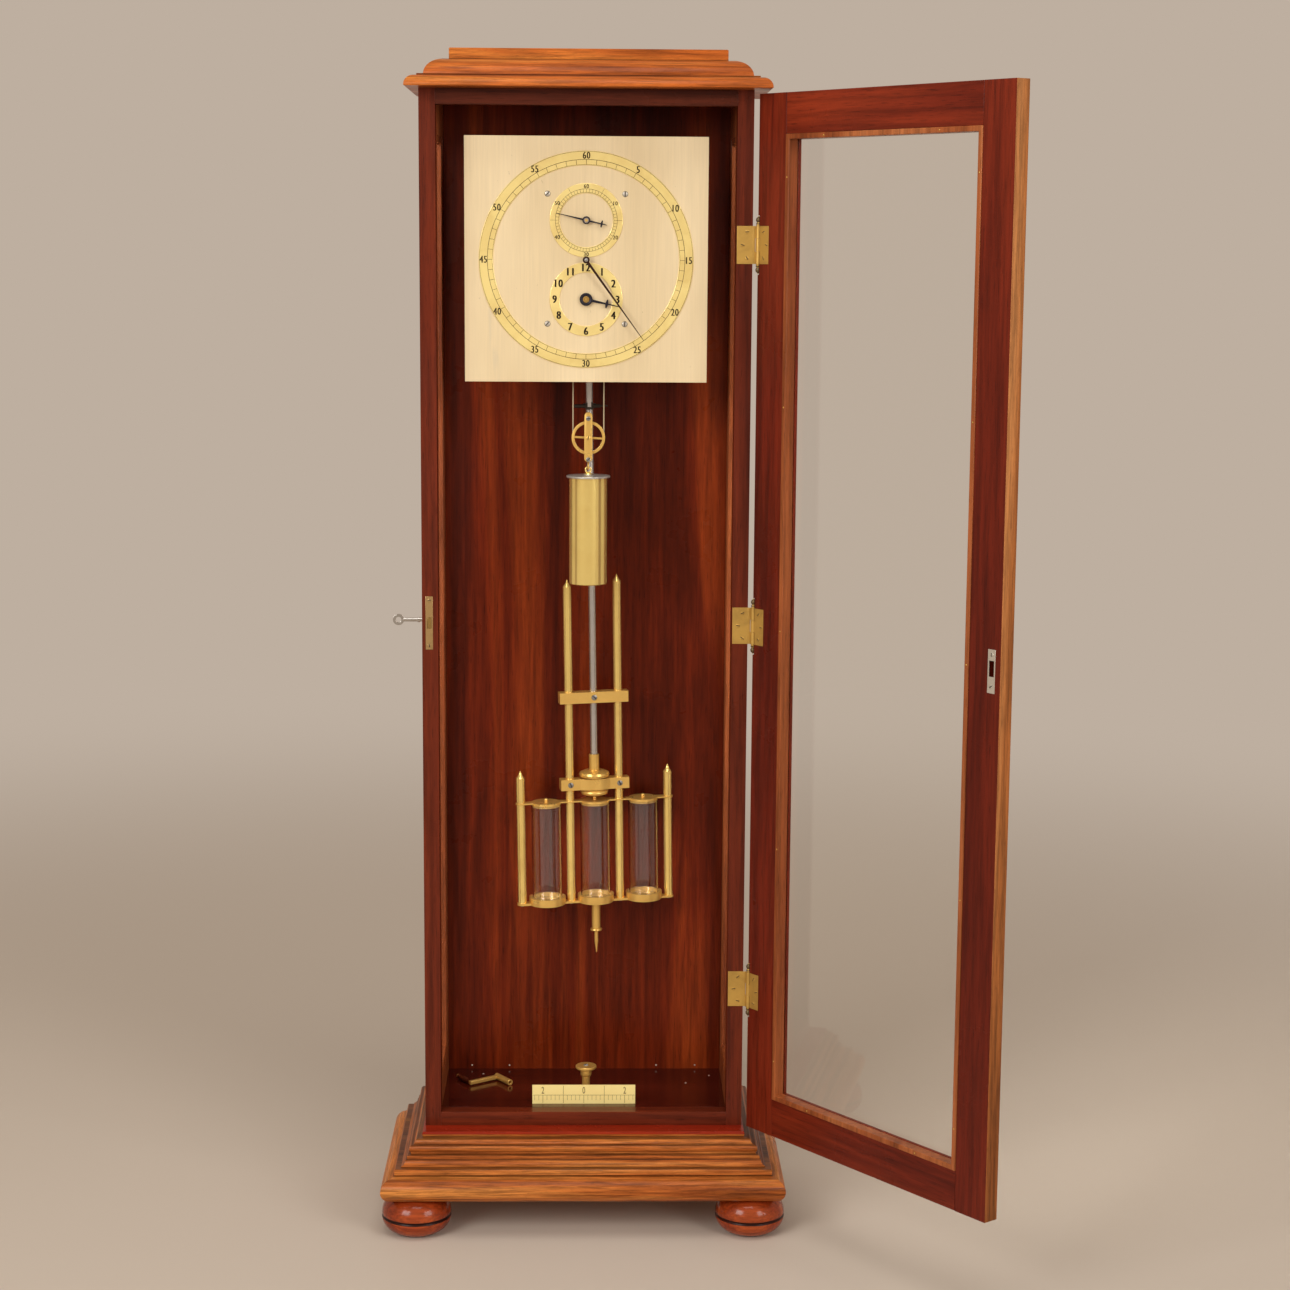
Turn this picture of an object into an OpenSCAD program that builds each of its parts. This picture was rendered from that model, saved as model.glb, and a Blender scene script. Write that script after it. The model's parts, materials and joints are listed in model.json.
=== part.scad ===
// Longcase clock: a precision regulator with a glazed door, a three-jar pendulum and one weight.
// Millimetres, +Z up, +Y towards the wall, origin under the middle of the front left foot.
// Sizes are worked out about the clock's middle line, and on_case() moves them to that origin.

/* [Case] */
// Width of the case over its front stiles
case_w = 450; // [440:1:460]
// Depth of the case from the front stiles to the wall
case_d = 212; // [210:1:214]
// Height of the opening that the door covers
case_h = 1446.8; // [1440:0.1:1450]
// Width of a front stile, and thickness of the case sides
stile_w = 22; // [20:1:24]
// Depth of a front stile
stile_d = 30; // [28:1:34]
// Depth of the inside, from the front face to the back panel
inside_d = 193.7; // [190:0.1:194]
// Height of the sill rail
sill_h = 19.4; // [18:0.1:22]
// Height of the header rail
header_h = 21.5; // [20:0.1:24]
// Height of the plinth and its feet under the case
base_h = 141; // [140:0.5:142]
// Height of the bun feet
foot_h = 56; // [54:0.5:58]
// Diameter of the bun feet
foot_dia = 98; // [94:1:100]
// How much further the plinth and the cornice stand out in front than at the sides
front_step = 25.2; // [25:0.1:27]
// Height of the cornice and its top board
cornice_h = 53.2; // [52:0.1:54]

/* [Door] */
// Width of the door
door_w = 463.5; // [462:0.5:465]
// Thickness of the door
door_t = 22.5; // [21:0.5:23]
// Width of the door's stiles and rails
door_stile = 54; // [50:1:56]
// Angle at which the door stands open
door_open = 128; // [0:1:160]
// Thickness of the glass
glass_t = 2.5; // [2:0.1:3]
// Width of the bead that holds the glass
bead_w = 7; // [6:0.5:8]

/* [Dial and movement] */
// Side of the square dial plate
dial_side = 333; // [325:1:340]
// Height of the minute hand's arbor above the floor
minute_z = 1361; // [1360:0.5:1362]
// Distance between the arbors of the three dials
arbor_gap = 53.5; // [53.5:0.1:53.6]
// Space between the movement's plates
plate_gap = 38; // [38:0.5:39]
// Radius at which the weight line leaves the barrel
line_r = 17.9; // [17.5:0.1:18.2]
// Angle of the minute hand, clockwise from the top
minute_angle = 144; // [0:6:354]
// Angle of the hour hand
hour_angle = 102; // [0:1:359]
// Angle of the seconds hand
second_angle = 283; // [0:1:359]

/* [Weight] */
// Diameter of the weight
weight_dia = 53; // [50:1:54]
// Height of the weight
weight_h = 151; // [140:1:155]
// Height of the weight's lower end above the floor
weight_z = 909.5; // [900:0.5:915]
// Outer diameter of the pulley
pulley_dia = 46.8; // [46:0.2:47]

/* [Pendulum] */
// Angle at which the pendulum hangs to the right of plumb
swing = 0.92; // [0:0.01:1.2]
// Angle that the jar frame is turned about the rod
frame_yaw = 10; // [0:1:12]
// Diameter of the pendulum rod
rod_dia = 10.4; // [9:0.1:11]
// Outer diameter of a glass jar
jar_dia = 44; // [42:0.5:45]
// Distance of the outer frame rods from the pendulum rod
outer_x = 108.4; // [106:0.1:110]
// Distance of the inner frame rods from the pendulum rod
inner_x = 36.1; // [35.5:0.1:37]

/* [Hidden] */
$fn = 48;

// Planes and heights of the case
front_y = -64;
rear_y = front_y + case_d;
back_y = front_y + inside_d;
half_w = case_w / 2;
in_w = half_w - stile_w;
floor_z = base_h + sill_h;
case_top = base_h + case_h;
back_t = 12;
floor_t = 14;
side_rail = 60;
side_stile = 30;
side_glass_x = half_w - 12;
side_bead = 8;
window_z0 = floor_z + 40;
window_z1 = case_top - side_rail;
window_y0 = front_y + stile_d + 10;
window_y1 = back_y - side_stile;

// Door, drawn closed and then turned about its pin
door_gap = 1.6;
pin_x = half_w + 7.5;
pin_y = front_y - 3.6;
door_in = front_y - door_gap;
door_out = door_in - door_t;
door_x1 = pin_x - 1;
door_x0 = door_x1 - door_w;
door_z0 = base_h + 0.8;
door_z1 = case_top - 5.4;
glass_in = door_in - 15;
hinge_z = [1382.6, 862.1, 342.3];
hinge_h = 51;
hinge_full = 77;
knuckle_r = 4;
pin_r = 1.6;
leaf_t = 1.4;
leaf_w = 21.5;
notch_r = 4.6;

// Lock in the left stile
lock_x = -half_w + 9.9;
lock_z = 864.3;
lock_h = 74.4;
lock_w = 10.4;
bolt_w = 5.6;
bolt_h = 15;
bolt_z = 864.4;
key_y = front_y + 15;
key_z = 866.9;

// Movement and its arbors, as [x, z]
dial_y = -19;
dial_t = 3;
ring_t = 1.2;
plate_t = 3;
plate_front = -4;
plate_back = plate_front + plate_t + plate_gap;
plate_x = 64;
plate_z0 = 1262;
plate_z1 = 1490;
centre = [0, minute_z];
barrel_c = [0, minute_z - arbor_gap];
escape_c = [0, minute_z + arbor_gap];
pallet_c = [0, minute_z + 103];
foot_x = 53;
foot_z = [1274, 1450];
great_n = 144;
centre_n = 96;
third_n = 90;
cannon_n = 20;
motion_n = 60;
motion_pinion_n = 18;
hour_n = 72;
leaf_n = 12;
great_m = 2 * arbor_gap / (great_n + leaf_n);
centre_m = 0.6;
third_m = 0.55;
cannon_m = 0.8;
hour_m = 0.75;
third_c = apex(centre, escape_c, centre_m * (centre_n + leaf_n) / 2,
    third_m * (third_n + leaf_n) / 2, -1);
motion_c = apex(centre, barrel_c, cannon_m * (cannon_n + motion_n) / 2,
    hour_m * (motion_pinion_n + hour_n) / 2, 1);
escape_n = 30;
escape_r = 25.4;
great_y = 5;
ratchet_y = 7.8;
drum_y0 = 10;
drum_y1 = 34;
drum_r = 16.9;
ratchet_n = 48;
ratchet_r = 22;
centre_y = 14;
third_y = 22;
escape_y = 30;
cannon_y = -8;
hour_y = -11.8;
arbor_r = 2;
hole_gap = 0.05;

// Weight, hanging midway between the barrel strand and the fixed strand
line_t = 1.8;
pulley_r = pulley_dia / 2;
groove_r = 21.5;
weight_x = groove_r - line_r;
weight_y = 18;
pulley_z = weight_z + weight_h + 54.5;
line_fixed_x = weight_x + groove_r;
line_pin_z = 1278;
spoke_turn = 3;
yoke_gap = 5.4;
yoke_t = 2.4;

// Pendulum, drawn plumb under its flexing point and then swung
pend_y = 78;
flex_z = pallet_c[1];
rod_top = flex_z - 30;
rod_end = 652;
plate_lo = 433;
plate_hi = 583;
bar_lo = 609;
bar_hi = 736.5;
bar_h = 16;
bar_half = 50;
bulge_c = 28.3;
inner_r = 6;
outer_r = 6.2;
inner_tip = [908, 914];
outer_tip = 632;
jar_x = 71.5;
crutch_z = 1156;

// Corner of a triangle on base a-b with sides ra and rb, on the given side in x
function apex(a, b, ra, rb, side) =
    let (d = b[1] - a[1], u = (ra * ra - rb * rb + d * d) / (2 * d))
    [side * sqrt(ra * ra - u * u), a[1] + u];

// Points of an arc, from angle a0 to a1
function arc(cx, cy, rx, ry, a0, a1, n) =
    [for (i = [0:n]) let (a = a0 + (a1 - a0) * i / n) [cx + rx * cos(a), cy + ry * sin(a)]];

// Outline of a toothed wheel with its first tooth at angle 0
function teeth(n, m, add, ded, tip, root) =
    let (r = m * n / 2, p = 360 / n)
    [for (i = [0:n - 1]) for (q = [[-root, r - ded * m], [-tip, r + add * m],
        [tip, r + add * m], [root, r - ded * m]])
        [q[1] * cos(p * (i + q[0])), q[1] * sin(p * (i + q[0]))]];
function wheel_teeth(n, m) = teeth(n, m, 0.8, 1.2, 0.10, 0.24);
function pinion_teeth(n, m) = teeth(n, m, 0.62, 1.2, 0.08, 0.20);
function saw_teeth(n, r0, r1, lean) =
    [for (i = [0:n - 1]) for (q = [[0, r0], [lean, r1]])
        [q[1] * cos(360 / n * (i + q[0])), q[1] * sin(360 / n * (i + q[0]))]];
function angle_to(a, b) = atan2(b[1] - a[1], b[0] - a[0]);

// Extrudes an outline drawn in x and z along y, from y0
module along_y(y0, t) {
    translate([0, y0 + t, 0]) rotate([90, 0, 0]) linear_extrude(t) children();
}

// Extrudes an outline drawn in y and z along x, from x0
module along_x(x0, t) {
    translate([x0, 0, 0]) rotate([90, 0, 90]) linear_extrude(t) children();
}

// Round bar along y at p = [x, z]
module bar_y(p, y0, y1, r) {
    translate([p[0], y1, p[1]]) rotate([90, 0, 0]) cylinder(h = y1 - y0, r = r);
}

// Round bar along x at p = [y, z]
module bar_x(p, x0, x1, r) {
    translate([x0, p[0], p[1]]) rotate([0, 90, 0]) cylinder(h = x1 - x0, r = r);
}

// Box between two corners
module block(a, b) {
    translate(a) cube(b - a);
}

// Moulding that returns round both sides, from a list of [projection, height]
module moulded(profile, y_front) {
    n = len(profile);
    right = [for (q = profile) [half_w + q[0], q[1]]];
    left = [for (i = [n - 1:-1:0]) [-half_w - profile[i][0], profile[i][1]]];
    nose = [for (q = profile) [y_front - q[0], q[1]]];
    intersection() {
        along_y(front_y - 120, case_d + 120) polygon(concat(right, left));
        along_x(-half_w - 90, case_w + 180)
            polygon(concat(nose, [[rear_y, profile[n - 1][1]], [rear_y, profile[0][1]]]));
    }
}

// Moves what is drawn about the clock's middle line to the origin under the front left foot
module on_case() {
    translate([foot_cx, -foot_front_y, 0]) children();
}

// Turns what is drawn at the closed door to where the door stands
module on_door() {
    on_case() translate([pin_x, pin_y, 0]) rotate([0, 0, door_open]) translate([-pin_x, -pin_y, 0])
        children();
}

// Swings what is drawn plumb to where the pendulum hangs
module on_pendulum() {
    on_case() translate([0, 0, flex_z]) rotate([0, -swing, 0]) translate([0, 0, -flex_z]) children();
}

// Places the jar frame, drawn about the rod's own axis
module on_frame() {
    on_pendulum() translate([0, pend_y, 0]) rotate([0, 0, frame_yaw]) children();
}

// Case
module back_panel() {
    on_case() color("#5a2416") block([-in_w, back_y, base_h], [in_w, back_y + back_t, case_top]);
}

module side_frame(s) {
    x0 = s > 0 ? in_w : -half_w;
    y0 = front_y + stile_d;
    on_case() color("#9a4f24") difference() {
        block([x0, y0, base_h], [x0 + stile_w, rear_y, case_top]);
        block([x0 - 1, window_y0, window_z0], [x0 + stile_w + 1, window_y1, window_z1]);
    }
    on_case() color("#b5713c") difference() {
        xb = s * side_glass_x;
        translate([min(s * (in_w + 1), xb), 0, 0])
            block([0, window_y0, window_z0], [abs(xb) - in_w - 1, window_y1, window_z1]);
        block([x0 - 5, window_y0 + side_bead, window_z0 + side_bead],
            [x0 + stile_w + 5, window_y1 - side_bead, window_z1 - side_bead]);
    }
}

module left_side_frame() { side_frame(-1); }

module right_side_frame() { side_frame(1); }

module side_glass() {
    on_case() color("#c8d4d4", 0.3) for (s = [-1, 1]) {
        x0 = s > 0 ? side_glass_x : -side_glass_x - glass_t;
        block([x0, window_y0 + 0.2, window_z0 + 0.2], [x0 + glass_t, window_y1 - 0.2, window_z1 - 0.2]);
    }
}

module front_stiles() {
    on_case() color("#6e2c1a") for (s = [-1, 1]) difference() {
        x0 = s > 0 ? in_w : -half_w;
        block([x0, front_y, base_h], [x0 + stile_w, front_y + stile_d, case_top]);
        if (s > 0) for (z = hinge_z) {
            block([half_w - leaf_w, front_y - 1, z - hinge_h / 2],
                [half_w + 1, front_y + leaf_t, z + hinge_h / 2]);
        } else {
            block([lock_x - lock_w / 2, front_y - 1, lock_z - lock_h / 2],
                [lock_x + lock_w / 2, front_y + 24, lock_z + lock_h / 2]);
            bar_x([key_y, key_z], -half_w - 1, lock_x, 3.2);
        }
    }
}

module header_rail() {
    on_case() color("#6e2c1a") block([-in_w, front_y, case_top - header_h],
        [in_w, front_y + stile_w, case_top]);
}

module sill_rail() {
    on_case() color("#6e2c1a") block([-in_w, front_y, base_h], [in_w, front_y + stile_w, floor_z]);
}

module floor_board() {
    on_case() color("#5a2416") difference() {
        block([-in_w, front_y + stile_w, floor_z - floor_t], [in_w, back_y, floor_z]);
        translate([knob_x, knob_y, floor_z - floor_t - 1]) cylinder(h = floor_t + 2, r = 4.1);
    }
}

// Cornice: a quarter round under a fillet, and above them the top board's larger quarter round.
// Both sit a little to the right of the case. The lower one stands out furthest at its bottom edge.
cornice_split = case_top + 16.8;
cornice_shift = 2.8;
cornice_profile = concat([[18.9, case_top], [19.7, case_top + 0.7]],
    arc(5.8, case_top + 1, 13.9, 13.5, 0, 90, 9),
    [[3.5, case_top + 14.5], [3.5, cornice_split]]);
board_profile = concat([[-5, cornice_split]],
    arc(-34, cornice_split, 29, 21.6, 4, 90, 9),
    [[-37.6, cornice_split + 21.6], [-37.6, case_top + cornice_h - 1],
        [-38.6, case_top + cornice_h]]);

module cornice_moulding() {
    on_case() color("#b8652a") translate([cornice_shift, 0, 0])
        moulded(cornice_profile, front_y - front_step);
}

module top_board() {
    on_case() color("#b8652a") translate([cornice_shift, 0, 0])
        moulded(board_profile, front_y - front_step);
}

// Plinth, from the ledge under the door down to the feet
plinth_split = 99;
upper_profile = concat([[1.6, base_h], [2.6, base_h - 0.8], [3.2, base_h - 3.6],
    [2.6, base_h - 6.4], [2.6, base_h - 7.2], [10.2, base_h - 7.6]],
    arc(18.5, base_h - 8, 7.5, 7, 180, 245, 4),
    arc(16.5, base_h - 19.5, 4, 5.2, 70, -60, 6),
    [[18.4, base_h - 27.3], [22, base_h - 27.7], [23.6, base_h - 28.6], [23.6, base_h - 32.3],
        [25.6, base_h - 33.4]],
    arc(33.5, base_h - 33.6, 8, 7.4, 180, 255, 5),
    [[31.4, plinth_split]]);
lower_profile = concat([[38.6, plinth_split], [40.4, plinth_split - 1.4],
    [40.4, plinth_split - 7.8], [39.4, plinth_split - 9], [43.6, plinth_split - 10.6]],
    arc(43.6, 71.6, 15.2, 16.4, 82, -40, 12),
    [[51.5, foot_h + 0.9], [49.5, foot_h]]);

module plinth_upper() {
    on_case() color("#b8652a") moulded(upper_profile, front_y - front_step);
}

module plinth_lower() {
    on_case() color("#a85a26") moulded(lower_profile, front_y - front_step);
}

// Bun feet, flat underneath, each with a groove turned round its middle
foot_cx = 236;
foot_front_y = front_y - 37;
foot_rear_y = rear_y - 49.5;
module bun_feet() {
    r = foot_dia / 2;
    mid = 26;
    on_case() color("#8a3f20") for (x = [-foot_cx, foot_cx], y = [foot_front_y, foot_rear_y])
        translate([x, y, 0]) rotate_extrude() polygon(concat([[0, 0]],
            arc(r - 27, mid - 2, 27, mid - 2, -90, -2, 9), [[r - 1.8, mid - 0.6]],
            arc(r - 26, mid + 2, 26, foot_h - mid - 2, 0, 80, 9),
            [[r - 24, foot_h], [0, foot_h]]));
}

// Door hinges: a leaf let into each side, three knuckles and a pin with turned ends
module knuckle(z0, z1) {
    translate([pin_x, pin_y, z0]) difference() {
        cylinder(h = z1 - z0, r = knuckle_r);
        translate([0, 0, -1]) cylinder(h = z1 - z0 + 2, r = pin_r + hole_gap);
    }
}

module hinge_case_leaves() {
    k = hinge_h / 3;
    for (z = hinge_z) {
        z0 = z - hinge_h / 2;
        on_case() color("#c9a24a") difference() {
            union() {
                block([half_w - leaf_w + 0.1, front_y, z0 + 0.1],
                    [half_w, front_y + leaf_t, z0 + hinge_h - 0.1]);
                block([half_w, front_y - 0.9, z0 + 0.1],
                    [pin_x - knuckle_r - 0.3, front_y + leaf_t - 0.9, z0 + hinge_h - 0.1]);
                for (a = [z0 + 0.1, z0 + 2 * k + 0.1]) {
                    block([half_w, front_y - 0.9, a], [pin_x - 2.6, front_y + leaf_t - 0.9, a + k - 0.2]);
                    knuckle(a, a + k - 0.2);
                }
            }
            for (a = [z0 - 0.1, z0 + 2 * k]) translate([pin_x, pin_y, a])
                cylinder(h = k + 0.2, r = pin_r + hole_gap);
        }
        on_case() color("#c9a24a") translate([pin_x, pin_y, z]) rotate_extrude() polygon([
            [0, -hinge_full / 2], [0.8, -hinge_full / 2], [2.6, -33], [2.2, -30.5], [3, -28.5],
            [3, -hinge_h / 2], [pin_r, -hinge_h / 2], [pin_r, hinge_h / 2], [3, hinge_h / 2],
            [3, 28.5], [2.2, 30.5], [2.6, 33], [0.8, hinge_full / 2], [0, hinge_full / 2]]);
    }
}

module hinge_door_leaves() {
    k = hinge_h / 3;
    color("#c9a24a") on_door() for (z = hinge_z) {
        z0 = z - hinge_h / 2;
        difference() {
            union() {
                block([door_x1 - leaf_w, door_in - leaf_t, z0 + 0.1],
                    [door_x1 - 3.9, door_in, z0 + hinge_h - 0.1]);
                block([door_x1 - 4, door_in - leaf_t, z0 + k + 0.1],
                    [door_x1 - 1.8, door_in, z0 + 2 * k - 0.1]);
                knuckle(z0 + k + 0.1, z0 + 2 * k - 0.1);
            }
            translate([pin_x, pin_y, z0 + k - 1]) cylinder(h = k + 2, r = pin_r + hole_gap);
        }
    }
}

// Lock: a case let into the left stile, its bolt, and the key put in from the side
module lock_case() {
    on_case() color("#c9a24a") difference() {
        block([lock_x - lock_w / 2 + 0.1, front_y, lock_z - lock_h / 2 + 0.1],
            [lock_x + lock_w / 2 - 0.1, front_y + 23.8, lock_z + lock_h / 2 - 0.1]);
        block([lock_x - bolt_w / 2 - 0.2, front_y - 1, bolt_z - bolt_h / 2 - 0.2],
            [lock_x + bolt_w / 2 + 0.2, front_y + 20, bolt_z + bolt_h / 2 + 0.2]);
        bar_x([key_y, key_z], lock_x - lock_w, lock_x - bolt_w / 2 - 0.6, 2.9);
    }
}

module lock_bolt() {
    on_case() color("#8d8d8a") block([lock_x - bolt_w / 2, front_y + 0.6, bolt_z - bolt_h / 2],
        [lock_x + bolt_w / 2, front_y + 19, bolt_z + bolt_h / 2]);
}

module door_key() {
    tip = lock_x - bolt_w / 2 - 1.2;
    on_case() color("#a8a49c") {
        difference() {
            union() {
                bar_x([key_y, key_z], -half_w - 27, tip, 2.6);
                bar_x([key_y, key_z], -half_w - 7, -half_w - 3.5, 3.6);
            }
            bar_x([key_y, key_z], tip - 3, tip + 1, 1.3);
        }
        translate([-half_w - 33.4, key_y + 1.5, key_z]) rotate([90, 0, 0]) difference() {
            cylinder(h = 3, r = 7.8);
            translate([0, 0, -1]) cylinder(h = 5, r = 3.9);
        }
    }
}

// Door, drawn closed
module door_stiles() {
    lip = door_stile + bead_w;
    color("#7c3420") on_door() for (s = [0, 1]) difference() {
        xe = s == 0 ? door_x0 : door_x1 - lip;
        xb = s == 0 ? door_x0 : door_x1 - door_stile;
        union() {
            block([xb, door_out, door_z0], [xb + door_stile, door_in, door_z1]);
            block([xe, door_out, door_z0 + lip], [xe + lip, glass_in - glass_t, door_z1 - lip]);
        }
        if (s == 1) for (z = hinge_z) {
            block([door_x1 - leaf_w - 0.1, door_in - leaf_t, z - hinge_h / 2],
                [door_x1 + 1, door_in + 1, z + hinge_h / 2]);
            translate([pin_x, pin_y, z - hinge_full / 2 - 1])
                cylinder(h = hinge_full + 2, r = notch_r);
        } else {
            strike_cut(strike_half + 0.1, 1.2, strike_z[0] - 0.1, strike_z[1] + 0.1);
            strike_cut(strike_hole_half + 0.2, 14, strike_hole_z[0] - 0.4, strike_hole_z[1] + 0.4);
        }
    }
}

module door_rails() {
    lip = door_stile + bead_w;
    x0 = door_x0 + door_stile;
    x1 = door_x1 - door_stile;
    color("#7c3420") on_door() for (s = [0, 1]) {
        z0 = s == 0 ? door_z0 : door_z1 - door_stile;
        zl = s == 0 ? door_z0 : door_z1 - lip;
        block([x0, door_out, z0], [x1, door_in, z0 + door_stile]);
        block([x0, door_out, zl], [x1, glass_in - glass_t, zl + lip]);
    }
}

module door_beads() {
    a = [door_x0 + door_stile, glass_in, door_z0 + door_stile];
    b = [door_x1 - door_stile, door_in + 1.2, door_z1 - door_stile];
    color("#a85a2c") on_door() difference() {
        block(a, b);
        block([a[0] + bead_w, a[1] - 1, a[2] + bead_w], [b[0] - bead_w, b[1] + 1, b[2] - bead_w]);
    }
}

module door_glass() {
    e = door_stile + 0.3;
    color("#c8d4d4", 0.3) on_door() block([door_x0 + e, glass_in - glass_t, door_z0 + e],
        [door_x1 - e, glass_in, door_z1 - e]);
}

// Strike plate, let into the door's free stile, with a hole that takes the bolt
strike_x = lock_x - 1.2;
strike_z = [831.4, 887.1];
strike_half = 6.4;
strike_hole_z = [852.4, 872.6];
strike_hole_half = 4.2;
module strike_cut(half, depth, z0, z1) {
    block([strike_x - half, door_in - depth, z0], [strike_x + half, door_in + 1, z1]);
}

module strike_plate() {
    color("#b9b4a8") on_door() difference() {
        block([strike_x - strike_half, door_in - 1.2, strike_z[0]],
            [strike_x + strike_half, door_in, strike_z[1]]);
        strike_cut(strike_hole_half, 2, strike_hole_z[0], strike_hole_z[1]);
    }
}

// Movement frame: cheeks from the back panel, two plates, pillars, and the line's fixed end
module seat_bracket() {
    on_case() color("#7a6a48") for (s = [-1, 1]) {
        x0 = s > 0 ? 44 : -50;
        block([x0, plate_back + plate_t, 1282], [x0 + 6, back_y - 5, 1474]);
        block([s > 0 ? 38 : -72, back_y - 5, 1276], [s > 0 ? 72 : -38, back_y, 1480]);
    }
}

module movement_plates() {
    on_case() color("#c9a24a") {
        along_y(plate_front, plate_t) difference() {
            translate([-plate_x, plate_z0]) square([2 * plate_x, plate_z1 - plate_z0]);
            for (c = [centre, barrel_c, third_c, escape_c, pallet_c])
                translate(c) circle(r = arbor_r + hole_gap);
        }
        along_y(plate_back, plate_t) difference() {
            translate([-plate_x, plate_z0]) square([2 * plate_x, plate_z1 - plate_z0]);
            for (c = [centre, barrel_c, third_c, escape_c, pallet_c])
                translate(c) circle(r = arbor_r + hole_gap);
        }
        bar_y(motion_c, plate_front - 10, plate_front, 1.5);
    }
}

module pillars() {
    y0 = plate_front + plate_t;
    on_case() color("#c9a24a") {
        for (x = [-foot_x, foot_x], z = foot_z) {
            bar_y([x, z], y0, plate_back, 4.5);
            bar_y([x, z], dial_y + dial_t, plate_front, 3.5);
        }
        bar_y([line_fixed_x, line_pin_z], 12, plate_back, 2.5);
    }
}

// Dial: a square plate, three raised rings, four screws
module dial_plate() {
    on_case() color("#d9cdb0") along_y(dial_y, dial_t) difference() {
        translate([-dial_side / 2, minute_z - dial_side / 2]) square(dial_side);
        translate(centre) circle(r = 4);
        translate(barrel_c) circle(r = 6.6);
        translate(escape_c) circle(r = 3.6);
        for (x = [-foot_x, foot_x], z = foot_z) translate([x, z]) circle(r = 2.2);
    }
}

ring_big = [147, 127.5];
ring_small = [50, 36.5];
module chapter_rings() {
    on_case() color("#c9a24a") along_y(dial_y - ring_t, ring_t) {
        difference() {
            translate(centre) circle(r = ring_big[0], $fn = 96);
            translate(centre) circle(r = ring_big[1], $fn = 96);
        }
        for (c = [escape_c, barrel_c]) difference() {
            translate(c) circle(r = ring_small[0]);
            translate(c) circle(r = ring_small[1]);
        }
    }
}

module dial_screws() {
    on_case() color("#8f8f90") for (x = [-foot_x, foot_x], z = foot_z) {
        difference() {
            bar_y([x, z], dial_y - 1.2, dial_y, 3.7);
            block([x - 4, dial_y - 2, z - 0.4], [x + 4, dial_y - 0.6, z + 0.4]);
        }
        bar_y([x, z], dial_y, dial_y + dial_t, 2.1);
    }
}

// Wheel with flat crossings; its bore is a polygon a little larger than its collet
module crossed_wheel(n, m, y0, t, arms, rim, hub, bore, turn) {
    r_in = m * n / 2 - rim;
    along_y(y0, t) rotate(turn) difference() {
        polygon(wheel_teeth(n, m));
        for (k = [0:arms - 1]) {
            a = 360 / arms * k;
            w_in = 110 / hub;
            w_out = 110 / r_in;
            polygon(concat(arc(0, 0, r_in, r_in, a + w_out, a + 360 / arms - w_out, 8),
                arc(0, 0, hub, hub, a + 360 / arms - w_in, a + w_in, 4)));
        }
        circle(r = bore / cos(15), $fn = 12);
    }
}

module leaf_pinion(n, m, y0, t, turn) {
    along_y(y0, t) rotate(turn) difference() {
        polygon(pinion_teeth(n, m));
        circle(r = (arbor_r + hole_gap) / cos(15), $fn = 12);
    }
}

module arbor_at(c, y0, y1, hub_y, hub_t, hub_r) {
    color("#8f8f90") bar_y([0, 0], y0, y1, arbor_r);
    color("#c9a24a") difference() {
        bar_y([0, 0], hub_y, hub_y + hub_t, hub_r);
        bar_y([0, 0], hub_y - 1, hub_y + hub_t + 1, arbor_r + hole_gap);
    }
}

// Moves what is drawn about an arbor's own axis to c = [x, z]
module at_c(c) {
    on_case() translate([c[0], 0, c[1]]) children();
}

module centre_wheel() {
    a = angle_to(centre, third_c);
    b = angle_to(centre, motion_c);
    at_c(centre) {
        color("#c9a24a") crossed_wheel(centre_n, centre_m, centre_y, 2, 5, 3, 8, 4.55, a);
        color("#8f8f90") leaf_pinion(leaf_n, great_m, great_y - 1.5, 5.5, -90 + 15);
        color("#c9a24a") leaf_pinion(cannon_n, cannon_m, cannon_y, 2.8, b + 9);
        arbor_at([0, 0], -27, plate_back + plate_t, centre_y - 2, 5.5, 4.5);
    }
}

module great_wheel() {
    at_c(barrel_c) color("#c9a24a") {
        crossed_wheel(great_n, great_m, great_y, 2.4, 6, 4, 25, 4.6, 90 - 3 * 360 / great_n);
        bar_y(click_p, great_y + 2.4, ratchet_y + 2.2, 1.4);
    }
}

module winding_barrel() {
    at_c(barrel_c) {
        color("#8f8f90") bar_y([0, 0], -21, plate_back + plate_t, arbor_r);
        color("#8f8f90") along_y(-27.4, 6.4) square(3.4, center = true);
        color("#c9a24a") {
            difference() {
                union() {
                    bar_y([0, 0], drum_y0, drum_y1, drum_r);
                    bar_y([0, 0], drum_y1 - 1.5, drum_y1, drum_r + 4);
                    bar_y([0, 0], great_y - 1.5, drum_y0, 4.5);
                }
                bar_y([0, 0], great_y - 3, drum_y1 + 1, arbor_r + hole_gap);
            }
            along_y(ratchet_y, 2) difference() {
                polygon(saw_teeth(ratchet_n, ratchet_r - 1.6, ratchet_r, 0.85));
                circle(r = 4.6 / cos(15), $fn = 12);
            }
        }
    }
}

// Click on an arm of the great wheel, its nose just clear of the ratchet's tips
click_a = 90 - 3 * 360 / great_n - 60;
click_p = 31 * [cos(click_a), sin(click_a)];
function polar(r, a) = r * [cos(click_a + a), sin(click_a + a)];
module click() {
    at_c(barrel_c) color("#8f8f90") along_y(ratchet_y, 2) difference() {
        polygon([polar(22.2, -41), polar(23.2, -30), polar(25.2, -15), polar(28, -5),
            polar(28, 4), polar(31, 6.5), polar(34, 4), polar(34, -5), polar(29.5, -20),
            polar(25.6, -34), polar(24.2, -41.5)]);
        translate(click_p) circle(r = 1.45, $fn = 24);
    }
}

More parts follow.
